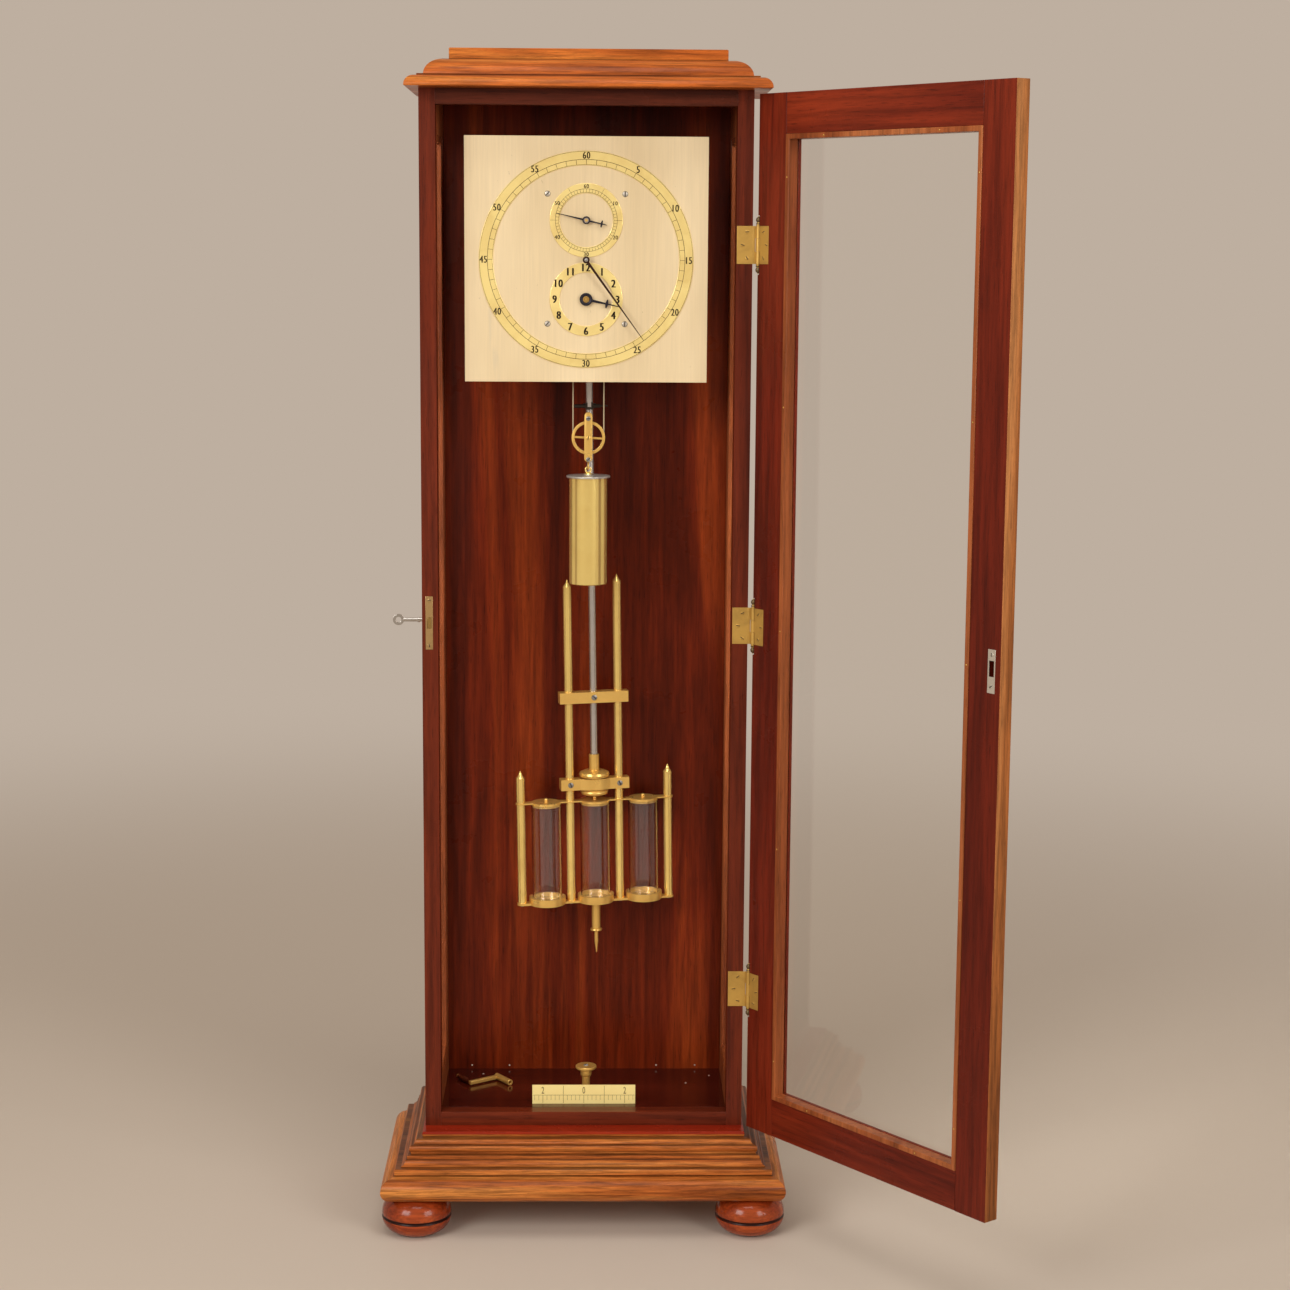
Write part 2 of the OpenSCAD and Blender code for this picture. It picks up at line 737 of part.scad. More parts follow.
module third_wheel() {
    a = angle_to(third_c, escape_c);
    b = angle_to(centre, third_c);
    at_c(third_c) {
        color("#c9a24a") crossed_wheel(third_n, third_m, third_y, 2, 5, 3, 7, 4.05, a);
        color("#8f8f90") leaf_pinion(leaf_n, centre_m, centre_y - 1.5, 5, b + 180 + 15);
        arbor_at([0, 0], plate_front, plate_back + plate_t, third_y - 1, 4, 4);
    }
}

module escape_wheel() {
    a = angle_to(third_c, escape_c);
    at_c(escape_c) {
        color("#c9a24a") along_y(escape_y, 1.6) difference() {
            polygon([for (i = [0:escape_n - 1]) for (q = [[0, escape_r - 4], [0.02, escape_r],
                [0.1, escape_r], [0.27, escape_r - 3.4], [0.5, escape_r - 4]])
                [q[1] * cos(12 * (i + q[0])), q[1] * sin(12 * (i + q[0]))]]);
            for (k = [0:4]) polygon(concat(arc(0, 0, 19, 19, 72 * k + 7, 72 * k + 65, 8),
                arc(0, 0, 7, 7, 72 * k + 56, 72 * k + 16, 4)));
            circle(r = 4.05 / cos(15), $fn = 12);
        }
        color("#8f8f90") leaf_pinion(leaf_n, third_m, third_y - 1.5, 5, a + 180 + 15);
        arbor_at([0, 0], -25.4, plate_back + plate_t, escape_y - 1, 3.6, 4);
    }
}

module motion_wheel() {
    a = angle_to(motion_c, centre);
    b = angle_to(motion_c, barrel_c);
    at_c(motion_c) color("#c9a24a") {
        crossed_wheel(motion_n, cannon_m, cannon_y + 0.6, 1.6, 5, 3.5, 10, 1.58, a);
        leaf_pinion(motion_pinion_n, hour_m, cannon_y - 5.4, 5.8, b + 10);
    }
}

module hour_wheel() {
    a = angle_to(barrel_c, motion_c);
    at_c(barrel_c) color("#c9a24a") {
        crossed_wheel(hour_n, hour_m, hour_y, 1.6, 5, 3.5, 10, 6.1, a);
        difference() {
            union() {
                bar_y([0, 0], -22, hour_y + 2, 6);
                bar_y([0, 0], -23.6, -22, 4.2);
            }
            bar_y([0, 0], -24, hour_y + 3, 3.2);
        }
    }
}

// Hands: an outline pointing up, turned clockwise
module hand(c, angle, y0, t, boss, bore) {
    color("#23242c") at_c(c) along_y(y0, t) rotate(-angle) difference() {
        union() {
            circle(r = boss);
            children();
        }
        circle(r = bore);
    }
}

module minute_hand() {
    hand(centre, minute_angle, -29.4, 1.2, 4.8, arbor_r + hole_gap)
        polygon([[-1.7, 4], [-1.3, 60], [-0.4, 133], [0.4, 133], [1.3, 60], [1.7, 4]]);
    color("#c9a24a") at_c(centre) difference() {
        bar_y([0, 0], -31, -16.6, 3);
        bar_y([0, 0], -32, -16, arbor_r + hole_gap);
    }
}

module hour_hand() {
    hand(barrel_c, hour_angle, -23.2, 1.2, 8.8, 4.25)
        polygon([[-2, 6], [-1.1, 27], [-6, 28.2], [-6, 29.8], [-0.9, 31], [-0.4, 47.5],
            [0.4, 47.5], [0.9, 31], [6, 29.8], [6, 28.2], [1.1, 27], [2, 6]]);
}

module seconds_hand() {
    hand(escape_c, second_angle, -24.6, 0.8, 5.4, arbor_r + hole_gap)
        polygon([[-1.4, 0], [-0.3, 42], [0.3, 42], [1.4, 0], [0.8, -20], [4.8, -20.8],
            [4.8, -22.3], [0.8, -23], [0.3, -29], [-0.3, -29], [-0.8, -23], [-4.8, -22.3],
            [-4.8, -20.8], [-0.8, -20]]);
}

// Pallets and crutch turn on one arbor, in line with the pendulum's flexing point
module pallets() {
    on_case() translate([0, 0, flex_z]) rotate([0, -swing, 0]) {
        color("#8f8f90") bar_y([0, 0], plate_front, 50, arbor_r);
        color("#8f8f90") along_y(escape_y - 0.4, 2.4) difference() {
            polygon([[-4, 4], [4, 4], [24, -14], [28.6, -32.5], [23.9, -35.9], [24, -31], [20.5, -17],
                [5, -7], [-5, -7], [-20.5, -17], [-24, -31], [-23.9, -35.9], [-28.6, -32.5],
                [-24, -14]]);
            circle(r = (arbor_r + hole_gap) / cos(15), $fn = 12);
        }
    }
}

module crutch() {
    drop = flex_z - crutch_z;
    y1 = pend_y - rod_dia / 2 - 0.5;
    on_case() translate([0, 0, flex_z]) rotate([0, -swing, 0]) color("#4a4640") {
        difference() {
            bar_y([0, 0], 44, 50, 6);
            bar_y([0, 0], 43, 51, arbor_r + hole_gap);
        }
        block([-2.5, 45, -drop], [2.5, 49, -5.5]);
        block([-2.5, 49, -drop - 4], [2.5, y1 - 5, -drop + 4]);
        block([-5.5, y1 - 5, -drop - 5], [5.5, y1, -drop + 5]);
        block([-8.7, y1 - 3, -drop - 3], [8.7, y1, -drop + 3]);
        for (x = [-8.7, 5.7]) block([x, y1, -drop - 3], [x + 3, pend_y + 4, -drop + 3]);
        bar_x([y1 - 2.7, -drop], -21.5, 15.5, 2.6);
        bar_x([y1 - 2.7, -drop], -25, 26, 1);
    }
}

// Suspension: a cock on the back panel, chops, and the spring that flexes between them
module suspension_bracket() {
    z = flex_z;
    on_case() color("#7a6a48") {
        block([-20, back_y - 6, z - 40], [20, back_y, z + 42]);
        block([-9, pend_y - 9, z + 20], [9, back_y - 6, z + 30]);
        for (x = [-9, 0.9]) block([x, pend_y - 9, z + 3], [x + 8.1, pend_y + 9, z + 20]);
    }
}

module suspension_spring() {
    on_pendulum() color("#9a9a9c") {
        block([-0.15, pend_y - 6, rod_top], [0.15, pend_y + 6, flex_z + 12]);
        difference() {
            block([-4.5, pend_y - 8, rod_top], [4.5, pend_y + 8, rod_top + 14]);
            block([-0.2, pend_y - 6.1, rod_top - 1], [0.2, pend_y + 6.1, rod_top + 15]);
        }
    }
}

module pendulum_rod() {
    on_pendulum() color("#9a9a9c") translate([0, pend_y, rod_end]) difference() {
        cylinder(h = rod_top - rod_end, r = rod_dia / 2);
        translate([0, 0, -1]) cylinder(h = 26, r = 4.3);
    }
}

// Rating nut: a hub and two discs above and below the lower cross bar
module rating_nut() {
    on_pendulum() color("#c9a24a") translate([0, pend_y, 0]) rotate_extrude() polygon([
        [0, 592], [14, 592], [19, 594], [20, 596.5], [19, 599], [14, 600.6], [8, 600.7],
        [8, 617.3], [16, 617.4], [21, 619.5], [22, 622.5], [21, 625.5], [14, 628.4],
        [7.4, 628.6], [7.4, rod_end - 0.2], [4.2, rod_end - 0.2], [4.2, rod_end + 20],
        [0, rod_end + 20]]);
}

// Jar frame: four rods, two cross bars, two thin plates, three jars with lids
module frame_rods() {
    on_frame() color("#c9a24a") for (s = [-1, 1]) {
        inner_h = inner_tip[s < 0 ? 0 : 1] - 10 - plate_lo - 3;
        translate([s * inner_x, 0, plate_lo + 3]) {
            cylinder(h = inner_h, r = inner_r);
            translate([0, 0, inner_h])
                rotate_extrude() polygon([[0, 0], [inner_r, 0], [2, 6], [0.4, 10], [0, 10]]);
        }
        translate([s * outer_x, 0, plate_lo + 3]) {
            cylinder(h = outer_tip - 12 - plate_lo - 3, r = outer_r);
            translate([0, 0, outer_tip - 12 - plate_lo - 3]) rotate_extrude()
                polygon([[0, 0], [outer_r, 0], [outer_r, 1.5], [2.6, 6.5], [2, 9], [0.5, 12], [0, 12]]);
        }
    }
}

module cross_bars() {
    on_frame() color("#c9a24a") {
        difference() {
            translate([0, 0, bar_lo - bar_h / 2]) linear_extrude(bar_h) {
                square([2 * bar_half, 18], center = true);
                intersection() {
                    translate([0, -bulge_c]) circle(r = bulge_c + 15, $fn = 96);
                    translate([0, bulge_c]) circle(r = bulge_c + 15, $fn = 96);
                }
            }
            translate([0, 0, bar_lo - bar_h]) cylinder(h = 2 * bar_h, r = 8.3);
            for (s = [-1, 1]) translate([s * inner_x, 0, bar_lo - bar_h])
                cylinder(h = 2 * bar_h, r = inner_r);
        }
        difference() {
            block([-bar_half, -9, bar_hi - bar_h / 2], [bar_half, 9, bar_hi + bar_h / 2]);
            translate([0, 0, bar_hi - bar_h]) cylinder(h = 2 * bar_h, r = rod_dia / 2);
            for (s = [-1, 1]) translate([s * inner_x, 0, bar_hi - bar_h])
                cylinder(h = 2 * bar_h, r = inner_r);
        }
    }
}

module plate_outline(r_jar) {
    square([2 * outer_x, 15], center = true);
    for (s = [-1, 1]) translate([s * outer_x, 0]) circle(r = 7.5);
    for (s = [-1, 0, 1]) translate([s * jar_x, 0]) circle(r = r_jar);
}

module jar_plates() {
    on_frame() color("#c9a24a") {
        translate([0, 0, plate_lo]) linear_extrude(3) plate_outline(26);
        translate([0, 0, plate_lo + 3]) for (s = [-1, 0, 1]) translate([s * jar_x, 0, 0])
            difference() {
                cylinder(h = 8, r = 26.5);
                translate([0, 0, -1]) cylinder(h = 10, r = jar_dia / 2 + 0.4);
            }
        translate([0, 0, plate_hi]) linear_extrude(1.8) difference() {
            plate_outline(21);
            for (s = [-1, 1]) {
                translate([s * outer_x, 0]) circle(r = outer_r);
                translate([s * inner_x, 0]) circle(r = inner_r);
            }
            for (s = [-1, 0, 1]) translate([s * jar_x, 0]) circle(r = 3);
        }
    }
}

module glass_jars() {
    on_frame() color("#c8d4d4", 0.3) for (s = [-1, 0, 1]) translate([s * jar_x, 0, plate_lo + 3])
        difference() {
            cylinder(h = plate_hi - plate_lo - 5.2, r = jar_dia / 2);
            translate([0, 0, 3]) cylinder(h = 200, r = jar_dia / 2 - 2);
        }
}

module jar_lids() {
    on_frame() color("#d6b25c") for (s = [-1, 0, 1]) translate([s * jar_x, 0, plate_hi])
        rotate_extrude() polygon([[0, -5], [19, -5], [19.8, -4], [19.8, -2.2], [21.4, -2.2],
            [21.4, 0], [3, 0], [3, 2.6], [2.2, 2.8], [3, 4.4], [2.6, 6], [1.2, 6.9], [0, 7]]);
}

module pendulum_pointer() {
    on_pendulum() color("#c9a24a") translate([0, pend_y, 0]) rotate_extrude() polygon([
        [0, 355], [0.7, 355.4], [2.8, 372], [2.8, 388], [8, 388.4], [8.6, 390], [8, 391.6],
        [6.2, 392], [6.2, plate_lo], [0, plate_lo]]);
}

// Weight: a turned shell with a capped top and an eye, hung by its hook from the pulley's yoke
module weight_shell() {
    r = weight_dia / 2;
    on_case() translate([weight_x, weight_y, weight_z]) color("#c9a24a") {
        rotate_extrude() polygon([[0, 0], [r - 1, 0], [r, 1], [r, weight_h - 1.2],
            [r + 3.8, weight_h - 1], [r + 4.2, weight_h + 0.4], [r + 3.8, weight_h + 1.6],
            [7, weight_h + 2.4], [5, weight_h + 5], [0, weight_h + 5.6]]);
        translate([0, 1.2, weight_h + 9.5]) rotate([90, 0, 0]) difference() {
            cylinder(h = 2.4, r = 4.8);
            translate([0, 0, -1]) cylinder(h = 5, r = 2.8);
        }
    }
}

module pulley_yoke() {
    z0 = pulley_z - 32.8;
    on_case() translate([weight_x, weight_y, 0]) color("#c9a24a") {
        for (s = [-1, 1]) translate([0, s > 0 ? yoke_gap : -yoke_gap - yoke_t, 0])
            difference() {
                along_y(0, yoke_t) union() {
                    translate([-5.6, z0 + 5]) square([11.2, 57.5]);
                    translate([0, z0 + 5]) circle(r = 5.6);
                    translate([0, z0 + 62.5]) circle(r = 5.6);
                }
                bar_y([0, pulley_z], -1, yoke_t + 1, 1.9);
            }
        for (z = [z0 + 2.8, z0 + 60]) bar_y([0, z], -yoke_gap, yoke_gap, 2.6);
        bar_y([0, pulley_z], -yoke_gap - yoke_t, yoke_gap + yoke_t, 1.9);
    }
    on_case() translate([weight_x, weight_y, weight_z + weight_h]) color("#8f8f90") {
        translate([0, 0, 15.2]) rotate([0, 90, 0]) rotate_extrude() translate([4.6, 0])
            circle(r = 1.1, $fn = 24);
        translate([0, 0, 20]) cylinder(h = 3.6, r = 1.5);
    }
}

module pulley() {
    on_case() translate([weight_x, weight_y, pulley_z]) color("#c9a24a") {
        rotate([90, 0, 0]) rotate_extrude() polygon([[19.4, -3], [pulley_r, -3],
            [groove_r - 1, -0.6], [groove_r - 1, 0.6], [pulley_r, 3], [19.4, 3]]);
        difference() {
            union() {
                bar_y([0, 0], -4.4, 4.4, 4);
                for (a = [spoke_turn, spoke_turn + 90]) rotate([0, a, 0])
                    block([-19.6, -1.4, -1.4], [19.6, 1.4, 1.4]);
            }
            bar_y([0, 0], -5, 5, 1.95);
        }
    }
}

// Weight line: down from the barrel, under the pulley and up to its fixed end
module weight_line() {
    on_case() color("#6b5a3a") translate([0, weight_y, 0]) {
        for (q = [[-line_r, barrel_c[1]], [line_fixed_x, line_pin_z - 2.6]])
            translate([q[0], 0, pulley_z]) cylinder(h = q[1] - pulley_z, r = line_t / 2, $fn = 16);
        translate([weight_x, 0, pulley_z]) rotate([90, 0, 0]) rotate_extrude(angle = -180)
            translate([groove_r, 0]) circle(r = line_t / 2, $fn = 16);
    }
}

// On the case floor: the beat scale, the hold-down knob and the winding crank
scale_y = -29;
module beat_scale() {
    on_case() color("#d6b25c") {
        block([-74, scale_y, floor_z], [74, scale_y + 2, floor_z + 28]);
        block([-60, scale_y + 2, floor_z], [60, scale_y + 12, floor_z + 4]);
    }
}

knob_x = 3;
knob_y = -3;
module hold_down_knob() {
    on_case() color("#c9a24a") translate([knob_x, knob_y, floor_z]) rotate_extrude() polygon([
        [0, -12], [4, -12], [4, 0.1], [7.5, 0.1], [7.5, 3], [5.6, 4], [5.6, 33], [7.4, 34.5],
        [8, 36], [8, 43], [13, 44], [15, 46], [15, 48.4], [14.4, 49], [0, 49]]);
}

// The crank lies on its side: a socket and an arm, and a handle turning on the arm's pin
crank_b = [-127.3, 78.2, 165];
crank_turn = -55;
crank_arm = 46;
module on_crank() {
    on_case() translate(crank_b) rotate([0, 0, crank_turn]) children();
}

module winding_crank() {
    on_crank() color("#a8823c") {
        difference() {
            bar_x([0, 0], -4, 33, 4.5);
            block([10, -1.8, -1.8], [34, 1.8, 1.8]);
        }
        difference() {
            block([-3, -crank_arm - 3.4, -2.5], [3, -3, 2.5]);
            bar_x([0, 0], -4, 4, 4.5);
        }
        bar_x([-crank_arm, 0], -36.5, -2, 1.3);
        bar_x([-crank_arm, 0], -38, -36.5, 2.6);
    }
}

module crank_handle() {
    on_crank() color("#a8823c") translate([-3.3, -crank_arm, 0]) rotate([0, -90, 0])
        rotate_extrude() polygon([[1.35, 0], [2.8, 0], [2.4, 4], [3.9, 11], [4.5, 18], [3.9, 25],
            [2.4, 30], [3, 31.5], [2.6, 33], [1.35, 33]]);
}

back_panel();
left_side_frame();
right_side_frame();
side_glass();
front_stiles();
header_rail();
sill_rail();
floor_board();
cornice_moulding();
top_board();
plinth_upper();
plinth_lower();
bun_feet();
hinge_case_leaves();
lock_case();
lock_bolt();
door_key();
door_stiles();
door_rails();
door_beads();
door_glass();
hinge_door_leaves();
strike_plate();
seat_bracket();
movement_plates();
pillars();
dial_plate();
chapter_rings();
dial_screws();
centre_wheel();
minute_hand();
great_wheel();
winding_barrel();
click();
third_wheel();
escape_wheel();
seconds_hand();
motion_wheel();
hour_wheel();
hour_hand();
pallets();
crutch();
suspension_bracket();
suspension_spring();
pendulum_rod();
rating_nut();
frame_rods();
cross_bars();
jar_plates();
glass_jars();
jar_lids();
pendulum_pointer();
weight_shell();
pulley_yoke();
pulley();
weight_line();
beat_scale();
hold_down_knob();
winding_crank();
crank_handle();
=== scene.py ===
"""A precision longcase clock: woods, metals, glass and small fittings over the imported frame."""
import json
import math

import bmesh
import bpy
from mathutils import Matrix, Vector


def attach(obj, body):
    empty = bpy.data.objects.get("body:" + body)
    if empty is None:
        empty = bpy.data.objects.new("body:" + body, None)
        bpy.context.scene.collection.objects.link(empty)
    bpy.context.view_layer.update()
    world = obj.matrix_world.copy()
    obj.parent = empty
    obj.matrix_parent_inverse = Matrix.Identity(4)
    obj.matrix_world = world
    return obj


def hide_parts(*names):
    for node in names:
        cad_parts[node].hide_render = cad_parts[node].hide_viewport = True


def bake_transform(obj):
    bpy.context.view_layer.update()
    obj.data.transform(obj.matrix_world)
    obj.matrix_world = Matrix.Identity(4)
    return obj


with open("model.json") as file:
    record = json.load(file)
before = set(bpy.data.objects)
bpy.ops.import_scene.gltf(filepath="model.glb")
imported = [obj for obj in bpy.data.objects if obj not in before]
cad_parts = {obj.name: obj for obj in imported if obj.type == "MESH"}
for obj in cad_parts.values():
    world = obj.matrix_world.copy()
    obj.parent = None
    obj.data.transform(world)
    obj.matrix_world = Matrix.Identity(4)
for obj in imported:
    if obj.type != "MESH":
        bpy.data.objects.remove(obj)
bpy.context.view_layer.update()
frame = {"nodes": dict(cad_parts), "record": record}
nodes = frame["nodes"]
record = frame["record"]

# Sizes are millimetres about the clock's middle line, and CASE takes them to the frame's metres
MM = 0.001
MIDDLE = Vector((236.0, 101.0, 0.0))

# Dial and movement
MINUTE_Z = 1361.0
ARBOR_GAP = 53.5
SECONDS_Z = MINUTE_Z + ARBOR_GAP
HOUR_Z = MINUTE_Z - ARBOR_GAP
RING_FACE_Y = -20.2
DIAL_Y = -19.0
DIAL_FOOT_X = 53.0
DIAL_FOOT_Z = (1274.0, 1450.0)
HOUR_BOSS_Y = -23.2
SECONDS_COLLET_Y = -24.6
MINUTE_CAP_Y = -31.0
FLEX_Z = MINUTE_Z + 103.0

# Engraving: radii of the circles, the long marks and the figures on each ring, the line widths,
# and how far engraving and screw heads stand off what they are on
MINUTE_LINES = (128.4, 135.2, 146.1)
MINUTE_FIGURES_R = 140.8
SECONDS_LINES = (37.6, 42.3)
SECONDS_LONG_MARK = 49.2
SECONDS_FIGURES_R = 45.9
HOUR_FIGURES_R = 43.2
THICK_LINE = 0.6
MIDDLE_LINE = 0.5
SECONDS_LINE = 0.45
THIN_LINE = 0.4
HAIR_LINE = 0.35
PROUD = 0.02
CLEAR = 0.05

# Pendulum, weight and line
PENDULUM_Y = 78.0
SWING = 0.92
FRAME_YAW = 10.0
INNER_ROD_X = 36.1
OUTER_ROD_X = 108.4
JAR_PLATE_Z = 433.0
LOWER_BAR_Z = 609.0
UPPER_BAR_Z = 736.5
BAR_FACE_Y = -9.0
WEIGHT_Z = 909.5
WEIGHT_H = 151.0
WEIGHT_X = 3.6
WEIGHT_Y = 18.0
PULLEY_Z = WEIGHT_Z + WEIGHT_H + 54.5
YOKE_FACE_Y = WEIGHT_Y - 7.8
GROOVE_R = 21.5
BARREL_R = 16.95
LINE_R = 17.9
LINE_HALF = 0.9
LINE_PIN_Z = 1278.0

# Case and door, the door as it is when closed
HALF_W = 225.0
FRONT_Y = -64.0
BACK_Y = 129.7
BASE_TOP = 141.0
FLOOR_Z = 160.4
SCALE_Y = -29.0
DOOR_OPEN = 128.0
PIN = Vector((232.5, -67.6, 0.0))
DOOR_X0 = -232.0
DOOR_X1 = 231.5
DOOR_Z = (141.8, 1582.4)
DOOR_IN_Y = -65.6
DOOR_STILE = 54.0
BEAD_W = 7.0
HINGE_Z = (1382.6, 862.1, 342.3)
LOCK_X = -215.1
LOCK_Z = 864.3
STRIKE_X = LOCK_X - 1.2
STRIKE_Z = (831.4, 887.1)
KNOB = (3.0, -3.0)
KNOB_H = 49

# Heights of the quirks in the mouldings, where shade is painted into the wood, how far the painted shade
# spreads from one in metres, and how dark it is
PLINTH_QUIRKS = (133.6, 126.5, 113.9, 108.2, 99.4, 90.0)
CORNICE_QUIRKS = (1603.6, 1626.3)
QUIRK_M = 0.0014
QUIRK_SHADE = 0.42

# Where a second finish begins on a piece
SKIN = 0.9
SIDE_BOARD = 21.0
FOOT_GROOVE_Z = 26.0
FOOT_GROOVE_HALF = 2.1
CRUTCH_ARM_Z = 1164.0
LEDGE_H = 3.0
WEIGHT_CAP = (-1.1, 3.0)

# How close corners are merged, and how sharp an edge is eased or left sharp in shading, in degrees
MERGE = 0.001
MERGE_FINE = 0.0001
ARRIS = 50
SMOOTH = 35.0
SMOOTH_CAD = 22.3

# How far wood's figure is drawn out along its grain, and a figure's height as a share of its font's size
ALONG_GRAIN = 0.05
FIGURE_SHARE = 0.73


def turned_about(point, degrees, axis):
    turn = Matrix.Rotation(math.radians(degrees), 4, axis)
    return Matrix.Translation(point) @ turn @ Matrix.Translation(-point)


CASE = Matrix.Scale(MM, 4) @ Matrix.Translation(MIDDLE)
DOOR = CASE @ turned_about(PIN, DOOR_OPEN, "Z")
PENDULUM = CASE @ turned_about(Vector((0, 0, FLEX_Z)), -SWING, "Y")
JARS = PENDULUM @ Matrix.Translation((0, PENDULUM_Y, 0)) @ Matrix.Rotation(math.radians(FRAME_YAW), 4, "Z")
TO_FRONT = Matrix.Rotation(math.radians(90), 4, "X")
TO_BACK = Matrix.Rotation(math.radians(-90), 4, "X")
AHEAD = (0, -1, 0)
ABACK = (0, 1, 0)
UPWARD = (0, 0, 1)

BODY_OF = {name: body for body, names in record["behaviour"]["bodies"].items() for name in names}


# Colour and node helpers

def tone(red, green, blue):
    """A colour named by its screen values, as the linear colour a shader takes."""
    def linear(value):
        share = value / 255
        return share / 12.92 if share <= 0.04045 else ((share + 0.055) / 1.055) ** 2.4
    return (linear(red), linear(green), linear(blue), 1.0)


def start_material(name):
    """A new material with its tree and its shader."""
    material = bpy.data.materials.new(name)
    material.use_nodes = True
    tree = material.node_tree
    tree.nodes.clear()
    output = tree.nodes.new("ShaderNodeOutputMaterial")
    shader = tree.nodes.new("ShaderNodeBsdfPrincipled")
    tree.links.new(shader.outputs["BSDF"], output.inputs["Surface"])
    return material, tree, shader


def node(tree, kind, settings=None, **inputs):
    """Adds a node, sets its plain settings, and feeds its inputs with numbers or other nodes' sockets."""
    made = tree.nodes.new(kind)
    for key, value in (settings or {}).items():
        setattr(made, key, value)
    for key, value in inputs.items():
        socket = made.inputs[int(key[1:])] if key[0] == "_" else made.inputs[key.replace("_", " ")]
        if isinstance(value, bpy.types.NodeSocket):
            tree.links.new(value, socket)
        else:
            socket.default_value = value
    return made


def place(tree, stretch, turn=(0, 0, 0), shift=(0, 0, 0)):
    """Object coordinates, stretched and turned."""
    where = node(tree, "ShaderNodeTexCoord")
    moved = node(tree, "ShaderNodeMapping", Vector=where.outputs["Object"])
    moved.inputs["Scale"].default_value = stretch
    moved.inputs["Rotation"].default_value = turn
    moved.inputs["Location"].default_value = shift
    return moved.outputs["Vector"]


def noise(tree, vector, scale, detail=4.0, roughness=0.55, distortion=0.0):
    return node(tree, "ShaderNodeTexNoise", Vector=vector, Scale=scale, Detail=detail,
                Roughness=roughness, Distortion=distortion).outputs["Fac"]


def ramp(tree, fac, stops):
    made = node(tree, "ShaderNodeValToRGB", Fac=fac)
    elements = made.color_ramp.elements
    while len(elements) < len(stops):
        elements.new(0.5)
    for element, (position, colour) in zip(elements, stops):
        element.position = position
        element.color = colour
    return made.outputs["Color"]


def grey(value):
    return (value, value, value, 1.0)


def mixed(tree, fac, first, second, blend="MIX"):
    made = tree.nodes.new("ShaderNodeMix")
    made.data_type = "RGBA"
    made.blend_type = blend
    for socket, value in ((made.inputs[0], fac), (made.inputs[6], first), (made.inputs[7], second)):
        if isinstance(value, bpy.types.NodeSocket):
            tree.links.new(value, socket)
        else:
            socket.default_value = value
    return made.outputs[2]


def show(tree, made):
    """Sends a shader to the material's output in place of the one that is there."""
    output = [item for item in tree.nodes if item.type == "OUTPUT_MATERIAL"][0]
    tree.links.new(made.outputs[0], output.inputs["Surface"])


def bump(tree, shader, height, strength, distance=0.0004):
    made = node(tree, "ShaderNodeBump", Height=height, Strength=strength, Distance=distance)
    tree.links.new(made.outputs["Normal"], shader.inputs["Normal"])


# Woods

def grain_places(tree, along, stretch):
    """Coordinates with the grain along an axis; 'round' turns it with a moulding's returns."""
    long = ALONG_GRAIN * stretch
    if along != "round":
        scale = [stretch, stretch, stretch]
        scale["XYZ".index(along)] = long
        return place(tree, scale)
    front = place(tree, (long, stretch, stretch))
    side = place(tree, (stretch, long, stretch))
    normal = node(tree, "ShaderNodeNewGeometry").outputs["Normal"]
    parts = node(tree, "ShaderNodeSeparateXYZ", Vector=normal)
    across = node(tree, "ShaderNodeMath", {"operation": "ABSOLUTE"}, _0=parts.outputs["X"])
    ahead = node(tree, "ShaderNodeMath", {"operation": "ABSOLUTE"}, _0=parts.outputs["Y"])
    is_side = node(tree, "ShaderNodeMath", {"operation": "GREATER_THAN"},
                   _0=across.outputs[0], _1=ahead.outputs[0])
    return mixed(tree, is_side.outputs[0], front, side)


def gathered_dirt(tree, base, heights):
    """Paints shade into the quirks of a moulding, a darker band at each height; heights in millimetres."""
    where = node(tree, "ShaderNodeTexCoord")
    level = node(tree, "ShaderNodeSeparateXYZ", Vector=where.outputs["Object"]).outputs["Z"]
    for height in heights:
        away = node(tree, "ShaderNodeMath", {"operation": "SUBTRACT"}, _0=level, _1=height * MM)
        away = node(tree, "ShaderNodeMath", {"operation": "ABSOLUTE"}, _0=away.outputs[0])
        share = node(tree, "ShaderNodeMapRange", Value=away.outputs[0], From_Min=QUIRK_M * 0.4,
                     From_Max=QUIRK_M, To_Min=QUIRK_SHADE, To_Max=1.0)
        base = mixed(tree, 1.0, base, share.outputs[0], "MULTIPLY")
    return base


